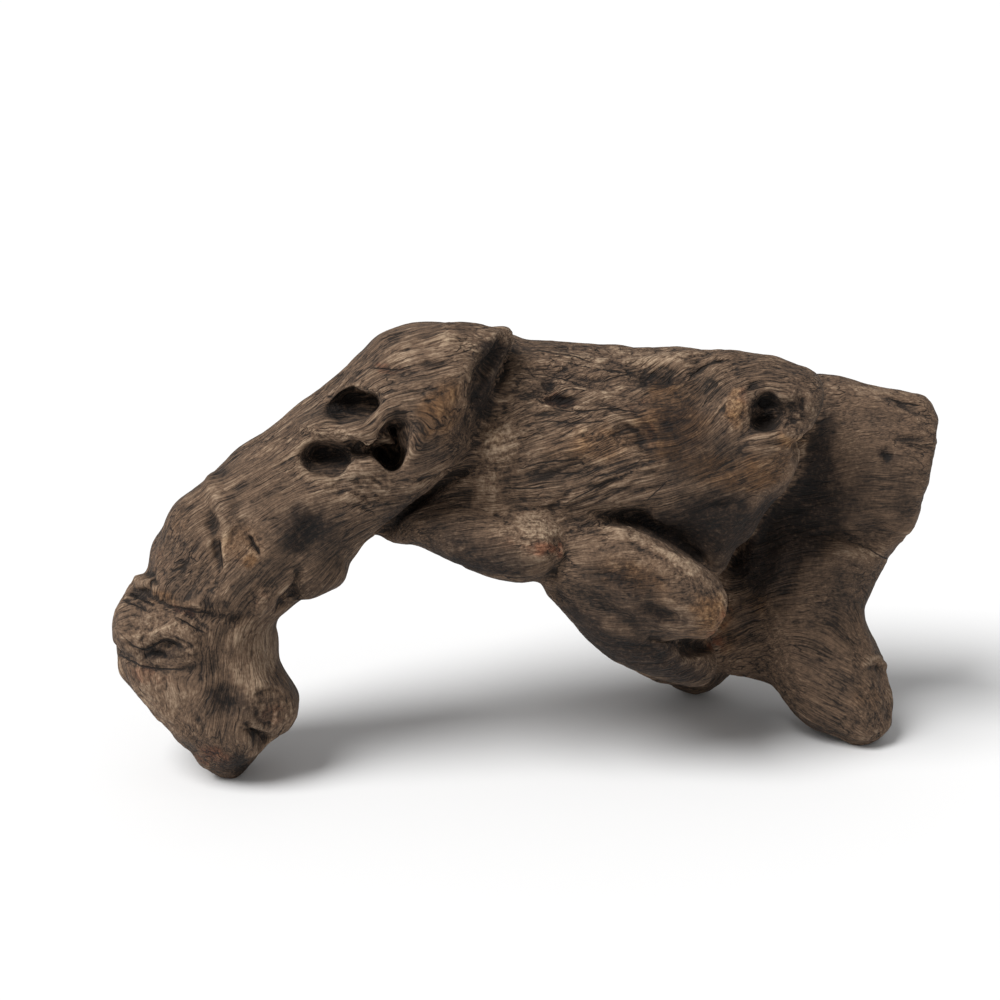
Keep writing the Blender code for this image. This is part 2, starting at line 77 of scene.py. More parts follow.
# Lines that the grain follows on the front, from the foot to the ends: places on the sight,
# each as two numbers, right and down.
GRAIN_LINES = [
    (226, 768, 190, 738, 160, 705, 135, 672),
    (240, 740, 228, 700, 215, 665, 205, 630, 200, 600),
    (262, 745, 262, 700, 250, 650, 245, 600),
    (290, 715, 278, 680, 266, 640, 268, 605),
    (214, 660, 188, 668, 160, 668, 122, 656),
    (215, 612, 180, 608, 150, 600, 122, 596),
    (196, 648, 176, 632, 150, 640, 120, 640),
    (160, 585, 163, 545, 186, 505, 225, 466, 280, 426, 330, 386, 375, 347, 412, 333, 460, 328),
    (190, 590, 195, 550, 208, 505, 240, 470, 288, 434),
    (206, 592, 206, 550, 216, 506, 246, 472, 286, 443),
    (225, 592, 226, 550, 230, 510, 254, 480, 285, 455),
    (254, 592, 262, 555, 275, 522, 296, 496, 318, 476),
    (284, 592, 298, 560, 322, 530, 345, 506, 372, 492),
    (318, 592, 338, 565, 356, 536, 378, 516, 410, 492, 440, 470, 468, 447),
    (322, 490, 350, 482, 384, 489, 420, 472, 452, 444),
    (296, 428, 334, 430, 372, 434),
    (308, 405, 345, 381, 380, 372, 412, 371, 450, 366, 478, 350),
    (362, 388, 386, 396, 408, 414, 414, 440, 406, 470),
    (402, 384, 430, 392, 448, 418, 454, 446),
    (430, 340, 462, 342, 486, 346, 498, 338),
    (492, 352, 474, 392, 470, 440),
    (515, 342, 600, 349, 680, 355, 740, 358, 792, 372),
    (510, 360, 560, 366, 610, 368, 652, 359),
    (500, 380, 540, 388, 580, 397, 602, 391, 640, 374, 668, 365),
    (495, 400, 530, 408, 572, 408, 612, 399, 650, 391, 682, 392),
    (500, 428, 550, 423, 592, 420, 626, 421, 648, 432, 656, 453),
    (520, 450, 560, 447, 600, 450, 630, 441, 648, 447),
    (510, 480, 552, 482, 592, 470, 632, 456, 668, 449),
    (512, 501, 560, 505, 602, 486, 642, 468, 688, 446),
    (600, 503, 650, 481, 690, 456, 712, 426, 718, 396, 733, 373, 762, 362, 800, 372),
    (650, 506, 702, 491, 750, 485, 788, 461, 808, 441),
    (690, 386, 700, 371, 728, 361, 772, 357),
    (745, 441, 776, 436, 806, 432),
    (640, 521, 690, 531, 714, 548, 719, 562),
    (806, 447, 785, 474, 760, 515, 738, 542, 722, 562),
    (664, 500, 716, 508, 750, 510, 736, 536),
    (440, 472, 482, 490, 530, 506, 576, 500),
    (380, 532, 430, 511, 470, 516, 512, 524),
    (400, 540, 450, 550, 500, 562, 546, 573),
    (440, 522, 486, 536, 530, 546, 562, 556),
    (520, 506, 526, 518, 528, 531),
    (549, 507, 555, 520, 558, 533),
    (566, 515, 600, 532, 646, 546, 690, 571, 726, 596),
    (562, 545, 610, 570, 660, 590, 716, 616),
    (572, 565, 620, 600, 670, 622, 712, 636),
    (545, 585, 580, 625, 630, 655, 690, 680),
    (600, 606, 650, 642, 700, 665, 732, 660),
    (736, 600, 762, 605, 776, 628, 782, 662),
    (725, 562, 777, 536, 830, 541, 886, 562),
    (745, 586, 800, 571, 850, 590, 869, 620),
    (770, 600, 815, 611, 850, 650, 880, 700),
    (760, 640, 800, 660, 840, 700, 865, 735),
    (742, 666, 790, 690, 840, 730),
    (820, 386, 870, 393, 932, 407),
    (815, 420, 870, 426, 930, 442),
    (812, 460, 870, 464, 922, 478),
    (790, 500, 850, 506, 912, 518),
]

# On the sight: the spacing of points on a line, how far a line leads the grain, and the cells
# of the grid that it is averaged on. A weak, wide pull fills the cells that no line reaches.
GRAIN_SPACING = 5.0
GRAIN_REACH = 15.0
GRAIN_CELL = 4
GRAIN_CELLS = SIGHT_SIDE // GRAIN_CELL
FAR_WEIGHT = 1e-4
FAR_REACH = 20.0

# The limbs' own paths, which the grain follows out of sight: places on the sight and depths.
LIMB_PATHS = [
    [(232, 771, -36), (226, 684, -32), (206, 604, -28), (253, 542, -25), (317, 485, -22), (392, 426, -23),
     (432, 380, -24), (476, 349, -20)],
    [(410, 470, 0), (520, 443, 2), (640, 448, 4), (765, 456, 20), (918, 472, 15)],
    [(398, 512, -14), (484, 530, -26), (547, 545, -28), (612, 566, -36), (709, 611, -36)],
    [(598, 530, 8), (632, 574, 16), (664, 613, 24), (703, 661, 49)],
    [(740, 520, 30), (790, 560, 18), (803, 610, 16), (839, 687, 3), (868, 731, -7)],
]
PATH_SPACING = 8.0
PATH_REACH = 16.0

# The depth over which skin that lies behind the nearest skin comes to count as hidden.
COVER_DEPTH = 6.0

# The grain's coordinates: how hard they are held to their start, and the solver's steps.
GRAIN_HOLD = 2e-4
SOLVER_STEPS = 260

# Furrows: width and length of their noise, and how much each counts. The bed is taken off, so
# that they go down as well as up, and they wander sideways by FURROW_WANDER.
FURROWS = [(9.0, 60.0, 0.9), (4.6, 38.0, 0.75), (2.6, 24.0, 0.4)]
FURROW_BED = 0.3
FURROW_WANDER = 1.6

# Where the skin is moved a little, front and back together: a place on the sight, the half sizes
# of the bell round it, and how far it is moved to the right and up.
SHIFTS = [
    (183, 516, 40, 36, -4.0, 3.4),
    (290, 662, 26, 26, -5.4, 0.0),
    (276, 748, 18, 16, -1.8, 2.6),
    (180, 738, 16, 14, -1.8, -1.7),
    (148, 700, 20, 22, 1.5, 0.9),
    (138, 566, 16, 13, 2.4, -1.4),
    (300, 410, 44, 30, -0.9, 1.0),
    (382, 338, 22, 18, -1.2, 1.3),
    (504, 336, 14, 12, 2.1, 2.2),
    (728, 357, 30, 20, 0.0, 2.0),
    (158, 536, 14, 16, -1.4, 1.1),
    (788, 362, 16, 12, 0.0, -1.3),
    (838, 380, 26, 12, 0.0, 1.2),
    (926, 402, 12, 10, 0.2, 1.6),
    (356, 553, 12, 10, 0.6, -1.6),
    (395, 538, 20, 10, 0.0, -1.8),
    (884, 545, 20, 11, 5.2, 0.0),
    (341, 574, 16, 18, 2.0, -1.8),
    (552, 598, 14, 14, -1.6, -0.6),
    (888, 690, 18, 44, -1.8, 0.0),
    (116, 654, 10, 14, -0.3, 0.0),
]

# A stroke works the front of the log: how far it is raised (above 0) or sunk (below 0), its
# half width in sight steps, and the places on the sight that it passes through, each as two
# numbers.
STROKES = [
    (-0.5, 3, (368, 367, 385, 369, 405, 370)),
    (-0.8, 6, (416, 366, 432, 363, 446, 366)),
    (-1.4, 8, (326, 408, 340, 398, 362, 393)),
    (0.7, 5, (380, 394, 377, 408, 366, 424)),
    (0.8, 5, (300, 428, 334, 431, 370, 434)),
    (-1.8, 6, (342, 450, 374, 448)),
    (6.0, 9, (386, 428, 390, 444, 391, 456)),
    (4.0, 8, (764, 404, 766, 420)),
    (-1.4, 10, (396, 412, 402, 432)),
    (0.6, 5, (298, 458, 311, 477, 336, 484)),
    (1.0, 7, (348, 468, 372, 474)),
    (-0.8, 2.5, (326, 489, 346, 482, 364, 487, 384, 500)),
    (-0.7, 2.5, (332, 496, 352, 493, 374, 505)),
    (0.5, 3, (336, 486, 356, 478, 378, 484, 398, 494)),
    (-0.7, 2.5, (348, 482, 368, 478, 392, 488, 412, 484)),
    (-0.7, 2.5, (344, 504, 362, 506, 374, 514)),
    (-0.6, 2.5, (382, 476, 404, 482, 430, 474)),
    (-1.2, 2.5, (411, 485, 434, 476, 464, 465)),
    (-0.5, 3, (402, 386, 424, 396, 436, 420, 438, 448)),
    (-0.5, 3, (420, 384, 440, 394, 452, 420)),
    (0.9, 3.5, (217, 508, 226, 534, 225, 570)),
    (-1.4, 5, (208, 506, 214, 536, 220, 572)),
    (-1.6, 3, (247, 534, 254, 545, 261, 557)),
    (0.7, 9, (236, 510, 262, 522)),
    (-0.5, 4, (178, 520, 179, 548, 184, 578)),
    (-0.4, 4, (162, 530, 160, 560, 166, 584)),
    (0.6, 6, (208, 617, 230, 615, 252, 619)),
    (1.6, 6, (132, 581, 140, 581, 148, 586)),
    (1.4, 6, (293, 570, 288, 586, 283, 602)),
    (-1.0, 3, (126, 591, 140, 597, 154, 606)),
    (-0.9, 2.5, (122, 598, 136, 604, 148, 612)),
    (-0.8, 2.5, (134, 588, 152, 596, 168, 606, 212, 612)),
    (0.7, 4, (160, 600, 184, 606, 206, 606)),
    (0.8, 8, (258, 592, 266, 600)),
    (-0.9, 3, (174, 616, 190, 624, 206, 634)),
    (-0.7, 2.5, (182, 612, 198, 622, 212, 632)),
    (-1.2, 3.5, (128, 644, 146, 650, 164, 642, 184, 648, 196, 642)),
    (-1.1, 3.5, (140, 660, 158, 654, 178, 660, 196, 656)),
    (-0.9, 3, (150, 644, 166, 634, 184, 640, 196, 652)),
    (-0.9, 3, (132, 650, 150, 656, 172, 650, 194, 658)),
    (0.8, 4, (120, 640, 146, 634, 170, 634, 192, 640)),
    (0.7, 3.5, (136, 654, 160, 648, 182, 654)),
    (-1.2, 4, (146, 572, 152, 576, 158, 584)),
    (0.8, 8, (260, 706, 266, 710, 272, 715)),
    (2.4, 6, (242, 724, 252, 735, 264, 746)),
    (-0.8, 3, (254, 696, 266, 690, 282, 692)),
    (-0.8, 3, (252, 704, 260, 720, 274, 730)),
    (-0.6, 5, (200, 694, 226, 688, 250, 692)),
    (-0.5, 4, (176, 694, 196, 716, 208, 740)),
    (-0.5, 4, (156, 692, 180, 720, 198, 746)),
    (-0.7, 3.5, (424, 345, 452, 342, 476, 347)),
    (-0.5, 3, (392, 350, 420, 345, 448, 350)),
    (-1.2, 4, (540, 387, 556, 385)),
    (-1.4, 4, (543, 399, 560, 401, 577, 398)),
    (-0.7, 3, (496, 393, 520, 393, 543, 398)),
    (-0.7, 3, (576, 405, 610, 407, 648, 411)),
    (-0.7, 3, (528, 412, 560, 414, 600, 410)),
    (-1.1, 5, (612, 412, 636, 416, 650, 430, 655, 448)),
    (-0.8, 4, (606, 422, 628, 426, 642, 440, 640, 452)),
    (0.7, 5, (583, 404, 617, 391, 652, 369)),
    (0.6, 5, (556, 431, 598, 430, 622, 436)),
    (-0.8, 3.5, (544, 513, 573, 491, 604, 485)),
    (-0.8, 3.5, (567, 509, 594, 495, 624, 476, 652, 460)),
    (-0.7, 3, (590, 508, 620, 490, 656, 472)),
    (0.5, 4, (556, 506, 588, 486, 622, 466)),
    (-0.6, 3, (518, 352, 560, 356, 600, 364, 650, 366)),
    (-0.6, 3, (512, 366, 548, 372, 590, 380, 622, 378)),
    (-0.5, 3, (540, 348, 590, 353, 640, 357)),
    (-2.0, 5, (511, 350, 503, 372, 495, 392)),
    (0.9, 13, (490, 430, 498, 446, 494, 462)),
    (0.5, 10, (492, 470, 492, 496)),
    (-1.5, 3, (493, 514, 504, 515)),
    (-0.9, 2.5, (688, 380, 700, 369, 714, 362, 732, 359)),
    (-0.7, 3, (658, 366, 672, 371, 686, 380)),
    (-1.3, 8, (634, 376, 654, 378, 676, 384)),
    (-0.6, 4, (722, 400, 728, 416, 738, 430)),
    (0.6, 5, (734, 390, 729, 404, 736, 420)),
    (-1.4, 4, (746, 388, 756, 384, 770, 386)),
    (-1.0, 4, (786, 400, 790, 416, 784, 430)),
    (-0.9, 4, (790, 400, 795, 410, 790, 424)),
    (-0.7, 3, (798, 396, 804, 408, 800, 420)),
    (0.6, 4, (806, 396, 811, 414, 808, 432)),
    (0.5, 5, (746, 440, 775, 436, 806, 438)),
    (1.4, 5, (742, 450, 776, 449, 802, 452)),
    (-0.6, 6, (638, 611, 660, 614, 681, 620)),
    (1.6, 6, (562, 545, 561, 560, 558, 574)),
    (1.2, 9, (560, 588, 590, 612, 622, 630, 650, 640)),
    (1.8, 6, (650, 640, 678, 646, 704, 648)),
    (0.7, 3.5, (570, 527, 622, 531, 662, 553, 690, 563, 731, 592)),
    (-0.6, 3, (620, 537, 650, 553, 676, 566)),
    (-0.5, 4, (588, 552, 640, 570, 680, 590)),
    (-0.9, 3.5, (888, 397, 904, 402, 922, 405)),
    (1.4, 4, (898, 441, 916, 443, 936, 442)),
    (0.6, 3, (900, 449, 918, 450, 934, 448)),
    (-0.5, 7, (886, 456, 890, 458)),
    (-0.6, 4, (786, 530, 820, 534, 859, 543, 888, 556)),
    (0.6, 4, (860, 548, 878, 554, 888, 562)),
    (-0.4, 4, (800, 552, 840, 558, 872, 572)),
    (-0.5, 5, (739, 600, 756, 600, 768, 616, 770, 632)),
    (-0.4, 4, (746, 594, 766, 596, 780, 612)),
    (1.6, 5, (862, 667, 874, 664, 888, 665)),
    (0.6, 3, (862, 660, 874, 657, 886, 658)),
    (-0.4, 5, (812, 610, 838, 630, 856, 652)),
]

# How far a stroke's line wanders on the sight, and how far back it still works, in millimetres.
STROKE_WOBBLE = 4.0
STROKE_DEPTH = 27.0

# Cracks: half width in sight steps, and the places on the sight that they run through.
CRACKS = [
    (0.9, (411, 485, 434, 476, 464, 465)),
    (0.6, (368, 367, 385, 369, 405, 370)),
    (0.8, (505, 488, 526, 489, 547, 487)),
    (0.7, (550, 472, 566, 474, 582, 473)),
    (0.6, (543, 421, 580, 423, 610, 421)),
    (0.9, (686, 382, 698, 370, 713, 362, 731, 359)),
    (0.5, (645, 502, 656, 492, 668, 481)),
    (0.7, (543, 407, 580, 411, 616, 408, 648, 414)),
    (0.6, (516, 470, 548, 462, 590, 460)),
    (0.7, (560, 506, 592, 490, 628, 474, 654, 459)),
    (0.6, (520, 372, 560, 378, 592, 388)),
    (0.6, (560, 362, 604, 370, 646, 372)),
    (0.6, (896, 443, 916, 445, 935, 443)),
    (0.7, (888, 398, 904, 402, 922, 405)),
    (1.2, (248, 535, 254, 545, 261, 557)),
    (1.1, (494, 515, 504, 515)),
    (0.8, (127, 591, 140, 598, 154, 606)),
    (0.7, (122, 599, 136, 605, 148, 612)),
    (0.8, (178, 607, 196, 612, 214, 613)),
    (0.9, (128, 644, 146, 650, 164, 642, 184, 648)),
    (1.0, (115, 652, 128, 659, 150, 668, 186, 669)),
    (0.6, (176, 617, 190, 624, 206, 634)),
    (0.7, (868, 548, 880, 556, 892, 560)),
    (0.7, (219, 540, 221, 556, 222, 570)),
    (0.6, (530, 350, 560, 354, 596, 362)),
    (0.6, (600, 384, 612, 378, 640, 371)),
    (0.6, (592, 478, 620, 470, 646, 458)),
]

# How far a crack's line wanders on the sight, and how far away it is still felt.
CRACK_WOBBLE = 1.2
CRACK_REACH = 7.0

# Stains, with painted shade and painted highlight among them: where they are on the sight, their half
# sizes, their turn in degrees, their strength.
STAINS_AND_PAINTED_LIGHT = {
    "ochre": [
        (440, 410, 24, 34, 15, 0.8), (245, 560, 8, 5, 20, 0.9), (178, 524, 12, 20, 20, 0.4),
        (165, 598, 26, 8, 10, 0.6), (672, 424, 38, 44, 0, 0.9), (590, 444, 46, 24, -8, 0.6),
        (736, 408, 12, 20, 0, 0.8), (762, 470, 34, 20, -20, 0.8), (716, 470, 30, 24, 0, 0.7),
        (712, 612, 24, 20, 0, 0.8), (754, 604, 16, 16, 0, 0.6), (640, 580, 50, 22, 22, 0.6),
        (660, 384, 12, 8, 0, 0.6), (790, 440, 16, 8, 0, 0.8), (240, 545, 30, 24, 0, 0.5),
        (868, 700, 16, 18, 0, 0.4), (498, 440, 18, 20, 0, 0.3), (210, 470, 44, 12, -35, 0.3),
        (720, 640, 40, 16, 0, 0.5), (640, 650, 50, 12, 12, 0.3),
    ],
    "red": [
        (545, 547, 13, 7, 10, 0.9), (714, 640, 12, 10, 0, 0.9), (558, 400, 17, 6, 5, 0.7),
        (388, 368, 20, 4, 4, 0.6), (724, 616, 10, 16, 0, 0.5), (466, 334, 26, 7, 5, 0.3),
        (186, 610, 10, 5, 10, 0.8), (212, 756, 18, 9, 30, 0.8), (510, 545, 30, 7, 8, 0.4),
        (640, 405, 20, 8, 0, 0.4), (150, 676, 24, 10, 20, 0.5), (650, 440, 8, 16, 0, 0.4),
        (744, 396, 6, 8, 0, 0.5), (160, 560, 14, 24, 0, 0.3), (272, 712, 18, 14, 0, 0.5),
        (262, 600, 12, 10, 0, 0.3),
    ],
    # Dark patches: partly darker wood, partly painted shade in the hollows and creases, under the ridges
    # and the lip, in the cave by the plate and on the undersides of the belly and feet.
    "dark": [
        (304, 528, 36, 28, -15, 0.85), (228, 705, 38, 20, 5, 0.6), (352, 404, 26, 14, -20, 0.7),
        (328, 460, 30, 16, 0, 0.8), (392, 444, 15, 28, 0, 0.2), (490, 354, 14, 16, 40, 0.85),
        (474, 390, 7, 30, 0, 0.6), (500, 362, 10, 24, 26, 1.0), (484, 398, 11, 26, 8, 0.9),
        (334, 413, 14, 8, -8, 0.7), (800, 488, 9, 30, 36, 0.9), (402, 512, 30, 14, -35, 0.7),
        (656, 378, 30, 9, 8, 0.8), (690, 400, 14, 14, 0, 0.4), (634, 438, 16, 14, 0, 0.35),
        (766, 408, 20, 22, 0, 0.8), (797, 408, 14, 16, 0, 0.6), (664, 526, 50, 15, 12, 0.8),
        (710, 530, 36, 30, 0, 0.75), (588, 626, 50, 14, 42, 0.75), (650, 664, 76, 20, 14, 0.8),
        (756, 566, 36, 26, 0, 1.0), (776, 536, 40, 34, -25, 1.0), (806, 516, 50, 34, -25, 0.8),
        (818, 456, 14, 60, 8, 0.85), (620, 640, 60, 26, 28, 0.5), (850, 480, 60, 60, 0, 0.45),
        (840, 580, 50, 50, 0, 0.4), (800, 680, 50, 24, 30, 0.25), (240, 766, 28, 12, 0, 0.8),
        (664, 430, 36, 50, 0, 0.6), (720, 470, 50, 40, 0, 0.35), (620, 590, 50, 30, 30, 0.3),
        (470, 550, 60, 20, 8, 0.55), (650, 600, 60, 26, 26, 0.3), (720, 524, 50, 30, 0, 0.75),
        (634, 572, 44, 22, 22, 0.4), (500, 560, 50, 14, 6, 0.4), (232, 616, 24, 8, 0, 0.4),
        (262, 722, 16, 10, 20, 0.5), (256, 738, 14, 8, 40, 0.7), (662, 615, 24, 8, 12, 0.6),
        (888, 457, 12, 9, 0, 0.5), (162, 654, 36, 12, 5, 0.65), (140, 598, 18, 8, 25, 0.6),
        (528, 352, 26, 6, 3, 0.5), (516, 392, 26, 10, 0, 0.35), (760, 352, 60, 4, 8, 0.3),
        (304, 590, 30, 12, 0, 0.6), (905, 500, 12, 30, 0, 0.4), (470, 566, 80, 8, 8, 0.6),
        (450, 530, 34, 20, 20, 0.4), (670, 646, 40, 7, 4, 0.5), (684, 424, 20, 40, 0, 0.3),
        (430, 366, 16, 7, 0, 0.5), (340, 548, 20, 30, 30, 0.4), (712, 440, 26, 50, 0, 0.3),
        (286, 650, 10, 30, 0, 0.4), (545, 386, 12, 7, 0, 0.7), (560, 400, 18, 5, 3, 0.7),
        (600, 500, 60, 12, -15, 0.4), (410, 488, 60, 10, -28, 0.3), (620, 600, 60, 16, 30, 0.3),
        (770, 610, 20, 40, 0, 0.4), (210, 545, 8, 28, 0, 0.3),
    ],
    # Pale patches: partly paler, worn wood, partly painted highlight on the top faces and along the upper
    # edges of ridges and the lip.
    "pale": [
        (222, 486, 36, 14, -40, 0.7), (225, 545, 4, 24, 0, 0.8), (438, 344, 60, 12, -5, 0.7),
        (400, 356, 30, 14, -30, 0.5), (620, 356, 90, 10, 2, 0.9), (612, 392, 30, 4, -22, 0.6),
        (488, 496, 20, 24, 0, 1.0), (255, 655, 26, 40, 0, 0.9), (160, 706, 40, 34, 35, 0.6),
        (226, 664, 30, 30, 0, 0.4), (842, 655, 26, 50, 25, 0.4), (540, 526, 30, 14, 8, 1.0),
        (552, 516, 20, 8, 0, 0.8), (620, 533, 34, 6, 12, 0.9), (682, 563, 34, 6, 32, 0.9),
        (724, 598, 12, 12, 0, 0.8), (792, 440, 16, 5, 0, 0.7), (787, 466, 20, 5, -35, 0.5),
        (716, 376, 24, 10, 0, 0.5), (866, 390, 50, 5, 8, 0.7), (570, 431, 40, 5, -3, 0.6),
        (590, 462, 40, 6, -8, 0.5), (366, 496, 34, 10, 8, 0.6), (498, 438, 21, 22, 0, 0.45),
        (160, 620, 30, 14, 8, 0.4), (170, 690, 30, 20, 30, 0.4), (872, 692, 12, 16, 0, 0.4),
        (914, 424, 20, 16, 0, 0.4), (160, 566, 14, 26, 0, 0.3), (240, 590, 60, 8, 4, 0.4),
        (440, 466, 26, 6, -35, 0.4), (640, 564, 40, 12, 24, 0.3), (820, 600, 36, 26, 20, 0.3),
        (878, 556, 14, 6, 25, 0.5), (524, 425, 20, 12, 0, 0.4), (118, 616, 8, 20, 0, 0.4),
        (274, 470, 30, 20, -30, 0.3), (874, 659, 14, 3, 0, 0.6), (738, 404, 8, 16, 0, 0.5),
        (802, 446, 5, 18, 12, 0.8), (748, 540, 8, 30, 30, 0.5),
    ],
    "rough": [
        (497, 440, 22, 24, 0, 1.0), (736, 408, 14, 22, 0, 1.0), (800, 411, 16, 20, 0, 1.0),
        (160, 632, 40, 38, 0, 0.8), (274, 712, 22, 22, 0, 0.9), (540, 530, 34, 20, 5, 0.9),
        (690, 572, 46, 12, 32, 0.7), (494, 478, 14, 20, 0, 0.7), (362, 486, 40, 20, 0, 0.5),
        (248, 545, 20, 26, 0, 0.6), (712, 612, 24, 22, 0, 0.7), (262, 600, 14, 12, 0, 0.6),
        (640, 570, 50, 20, 22, 0.4),
    ],
    "calm": [
        (486, 504, 24, 20, 0, 0.4), (762, 508, 15, 72, 36, 1.0), (870, 470, 74, 90, 0, 1.0),
        (830, 620, 80, 100, 0, 0.9), (700, 440, 44, 50, 0, 0.6), (600, 620, 70, 50, 30, 0.8),
        (300, 540, 40, 40, 0, 0.7), (250, 660, 50, 50, 0, 0.6), (440, 540, 60, 30, 0, 0.6),
        (650, 570, 70, 30, 25, 0.8), (190, 550, 40, 44, 0, 0.4), (720, 530, 50, 40, 0, 0.5),
        (440, 400, 40, 50, 0, 0.4), (200, 700, 60, 50, 30, 0.8), (250, 520, 50, 60, 0, 0.6),
    ],
}

# How far the edges of stains are ragged, in sight steps.
STAIN_RAG = 9.0

# Where the furrows are deepest: a place on the sight and half sizes.
DEEPEST_FURROWS = (590, 430, 150, 90)

# The most that a stain of each kind covers out of sight, and what it is for all other kinds.
HIDDEN_SHARES = {"red": 0.3}
HIDDEN_SHARE = 0.7

# The material's ridges along the grain, coarse to fine: width, length and shift of their noise.
RIDGES = [(2.6, 70.0, 3.1), (1.25, 40.0, 7.7), (0.6, 14.0, 1.3)]
RIDGE_DRIFT = 2.2

# What a stain does to the wood's colour; the last is for the dark patches, which are partly darker wood and
# partly painted shade.
WARM = (1.04, 0.82, 0.54, 1)
RUDDY = (0.92, 0.52, 0.40, 1)
COOL = (0.9, 0.97, 1.06, 1)
SHADE_AND_DARK_WOOD = (0.165, 0.155, 0.165, 1)

# The way that the large soft light shines.
KEY_LIGHT_LOOK = (0.5, 0.36, -0.85)


class LogShape(bpy.types.PropertyGroup):
    """Sizes of the log's skin and relief."""

    skin_cell: bpy.props.FloatProperty(
        name="Skin Cell", description="Spacing of the fine skin's points",
        default=0.98 * MM, unit="LENGTH", precision=5,
    )
    furrow_height: bpy.props.FloatProperty(
        name="Furrow Height", description="Height of the broad furrows",
        default=0.8 * MM, unit="LENGTH", precision=5,
    )
    fibre_height: bpy.props.FloatProperty(
        name="Fibre Height", description="Height of the fine fibres",
        default=0.3 * MM, unit="LENGTH", precision=5,
    )


class LogFinish(bpy.types.PropertyGroup):
    """Colours of the wood."""

    heart_colour: bpy.props.FloatVectorProperty(
        name="Heart", description="Dark wood in the furrows", default=(0.020, 0.013, 0.009), subtype="COLOR"
    )
    wood_colour: bpy.props.FloatVectorProperty(
        name="Wood", description="Brown of most of the wood", default=(0.142, 0.088, 0.055),
        subtype="COLOR",
    )
    worn_colour: bpy.props.FloatVectorProperty(
        name="Worn", description="Pale tan of the worn ridges", default=(0.38, 0.275, 0.185),
        subtype="COLOR",
    )
    roughness: bpy.props.FloatProperty(
        name="Roughness", description="Roughness of the dry wood", default=0.86, min=0.0, max=1.0,
        subtype="FACTOR",
    )


class StageLook(bpy.types.PropertyGroup):
    """The floor, the lights and the camera."""

    floor_width: bpy.props.FloatProperty(
        name="Floor Width", description="Side of the square floor", default=60.0, unit="LENGTH"
    )
    floor_colour: bpy.props.FloatVectorProperty(
        name="Floor", description="Pale floor", default=(0.78, 0.78, 0.78), subtype="COLOR"
    )
    sky_strength: bpy.props.FloatProperty(
        name="Sky", description="Strength of the soft light all round", default=0.42
    )
    key_power: bpy.props.FloatProperty(
        name="Key Light", description="Strength of the large soft light", default=3.6
    )
    key_width: bpy.props.FloatProperty(
        name="Key Width", description="How wide the soft light is, as an angle",
        default=math.radians(32), subtype="ANGLE",
    )
    lens: bpy.props.FloatProperty(
        name="Lens", description="Focal length", default=74.592, unit="CAMERA"
    )


def on_sight(points):
    """Where points are seen on the sight (right, down), and their distance along the look."""
    away = (points - EYE) @ LOOK
    scale = SIGHT_DISTANCE / (SIGHT_STEP * away)
    right, up = (points - EYE)[:, 0] * scale, (points - EYE) @ UPRIGHT * scale
    return np.stack([SIGHT_MIDDLE + right, SIGHT_MIDDLE - up], 1), away


def through_sight(right, down, depth):
    """The point at this depth that is seen through this place of the sight."""
    ray = LOOK + (SIGHT_STEP / SIGHT_DISTANCE) * np.array([right - SIGHT_MIDDLE, 0.0, 0.0])
    ray = ray - (SIGHT_STEP / SIGHT_DISTANCE) * (down - SIGHT_MIDDLE) * UPRIGHT
    return EYE + ray * (depth - EYE[1]) / ray[1]


def smooth_line(stations, spacing):
    """Points about this far apart on a Catmull-Rom spline through the stations."""
    rows = np.array(stations, float)
    padded = np.vstack([2 * rows[0] - rows[1], rows, 2 * rows[-1] - rows[-2]])
    found = []
    for i in range(len(rows) - 1):
        a, b, c, d = padded[i : i + 4]
        count = max(2, int(np.linalg.norm(c - b) / spacing))
        t = np.linspace(0, 1, count, endpoint=False)[:, None]
        bend, twist = 2 * a - 5 * b + 4 * c - d, 3 * b - 3 * c + d - a
        found.append(0.5 * (2 * b + (c - a) * t + bend * t**2 + twist * t**3))
    return np.vstack([*found, rows[-1:]])


def unit(vectors):
    return vectors / np.maximum(np.linalg.norm(vectors, axis=-1, keepdims=True), 1e-9)


def noise(points, seed):
    """Gradient noise, about -1 to 1: at every whole place a random slope, eased in between."""
    cell = np.floor(points).astype(np.int64)
    part = points - cell
    ease = part**3 * (part * (part * 6 - 15) + 10)
    total = np.zeros(len(points))
    for corner in itertools.product((0, 1), repeat=3):
        place = cell + corner
        mixed = place[:, 0] * 73856093 ^ place[:, 1] * 19349663 ^ place[:, 2] * 83492791 ^ seed * 6151
        mixed = (mixed ^ (mixed >> 13)) * 1274126177 & 0xFFFFFFFF
        mixed ^= mixed >> 15
        slopes = (np.stack([mixed, mixed >> 8, mixed >> 16], 1) & 255) / 127.5 - 1
        weight = np.prod(np.where(corner, ease, 1 - ease), axis=1)
        total += weight * (slopes * (part - corner)).sum(1)
    return 1.25 * total


def wander(points, size, seed):
    """Two independent values of noise for every point, which push it sideways."""
    return np.stack([noise(points / size, seed), noise(points / size, seed + 1)], 1)


def bell(sight, right, down, wide, high):
    """1 at the place on the sight, fading smoothly to 0 beyond the half sizes round it."""
    return np.exp(-(((sight - (right, down)) / (wide, high)) ** 2).sum(1))


def mesh_values(mesh, attribute):
    values = np.empty(len(mesh.vertices) * 3, np.float32)
    mesh.vertices.foreach_get(attribute, values)
    return values.reshape(-1, 3).astype(float)


def mesh_edges(mesh):
    ends = np.empty(len(mesh.edges) * 2, np.int32)
    mesh.edges.foreach_get("vertices", ends)
    return ends.reshape(-1, 2)


def set_points(mesh, points):
    mesh.vertices.foreach_set("co", (points * MM).astype(np.float32).ravel())
    mesh.update()


def store(mesh, name, *values):
    """Keeps up to three numbers for every point of the mesh, for the material to read."""
    rows = np.zeros((len(mesh.vertices), 3), np.float32)
    rows[:, : len(values)] = np.stack(values, 1)
    mesh.attributes.new(name, "FLOAT_VECTOR", "POINT").data.foreach_set("vector", rows.ravel())


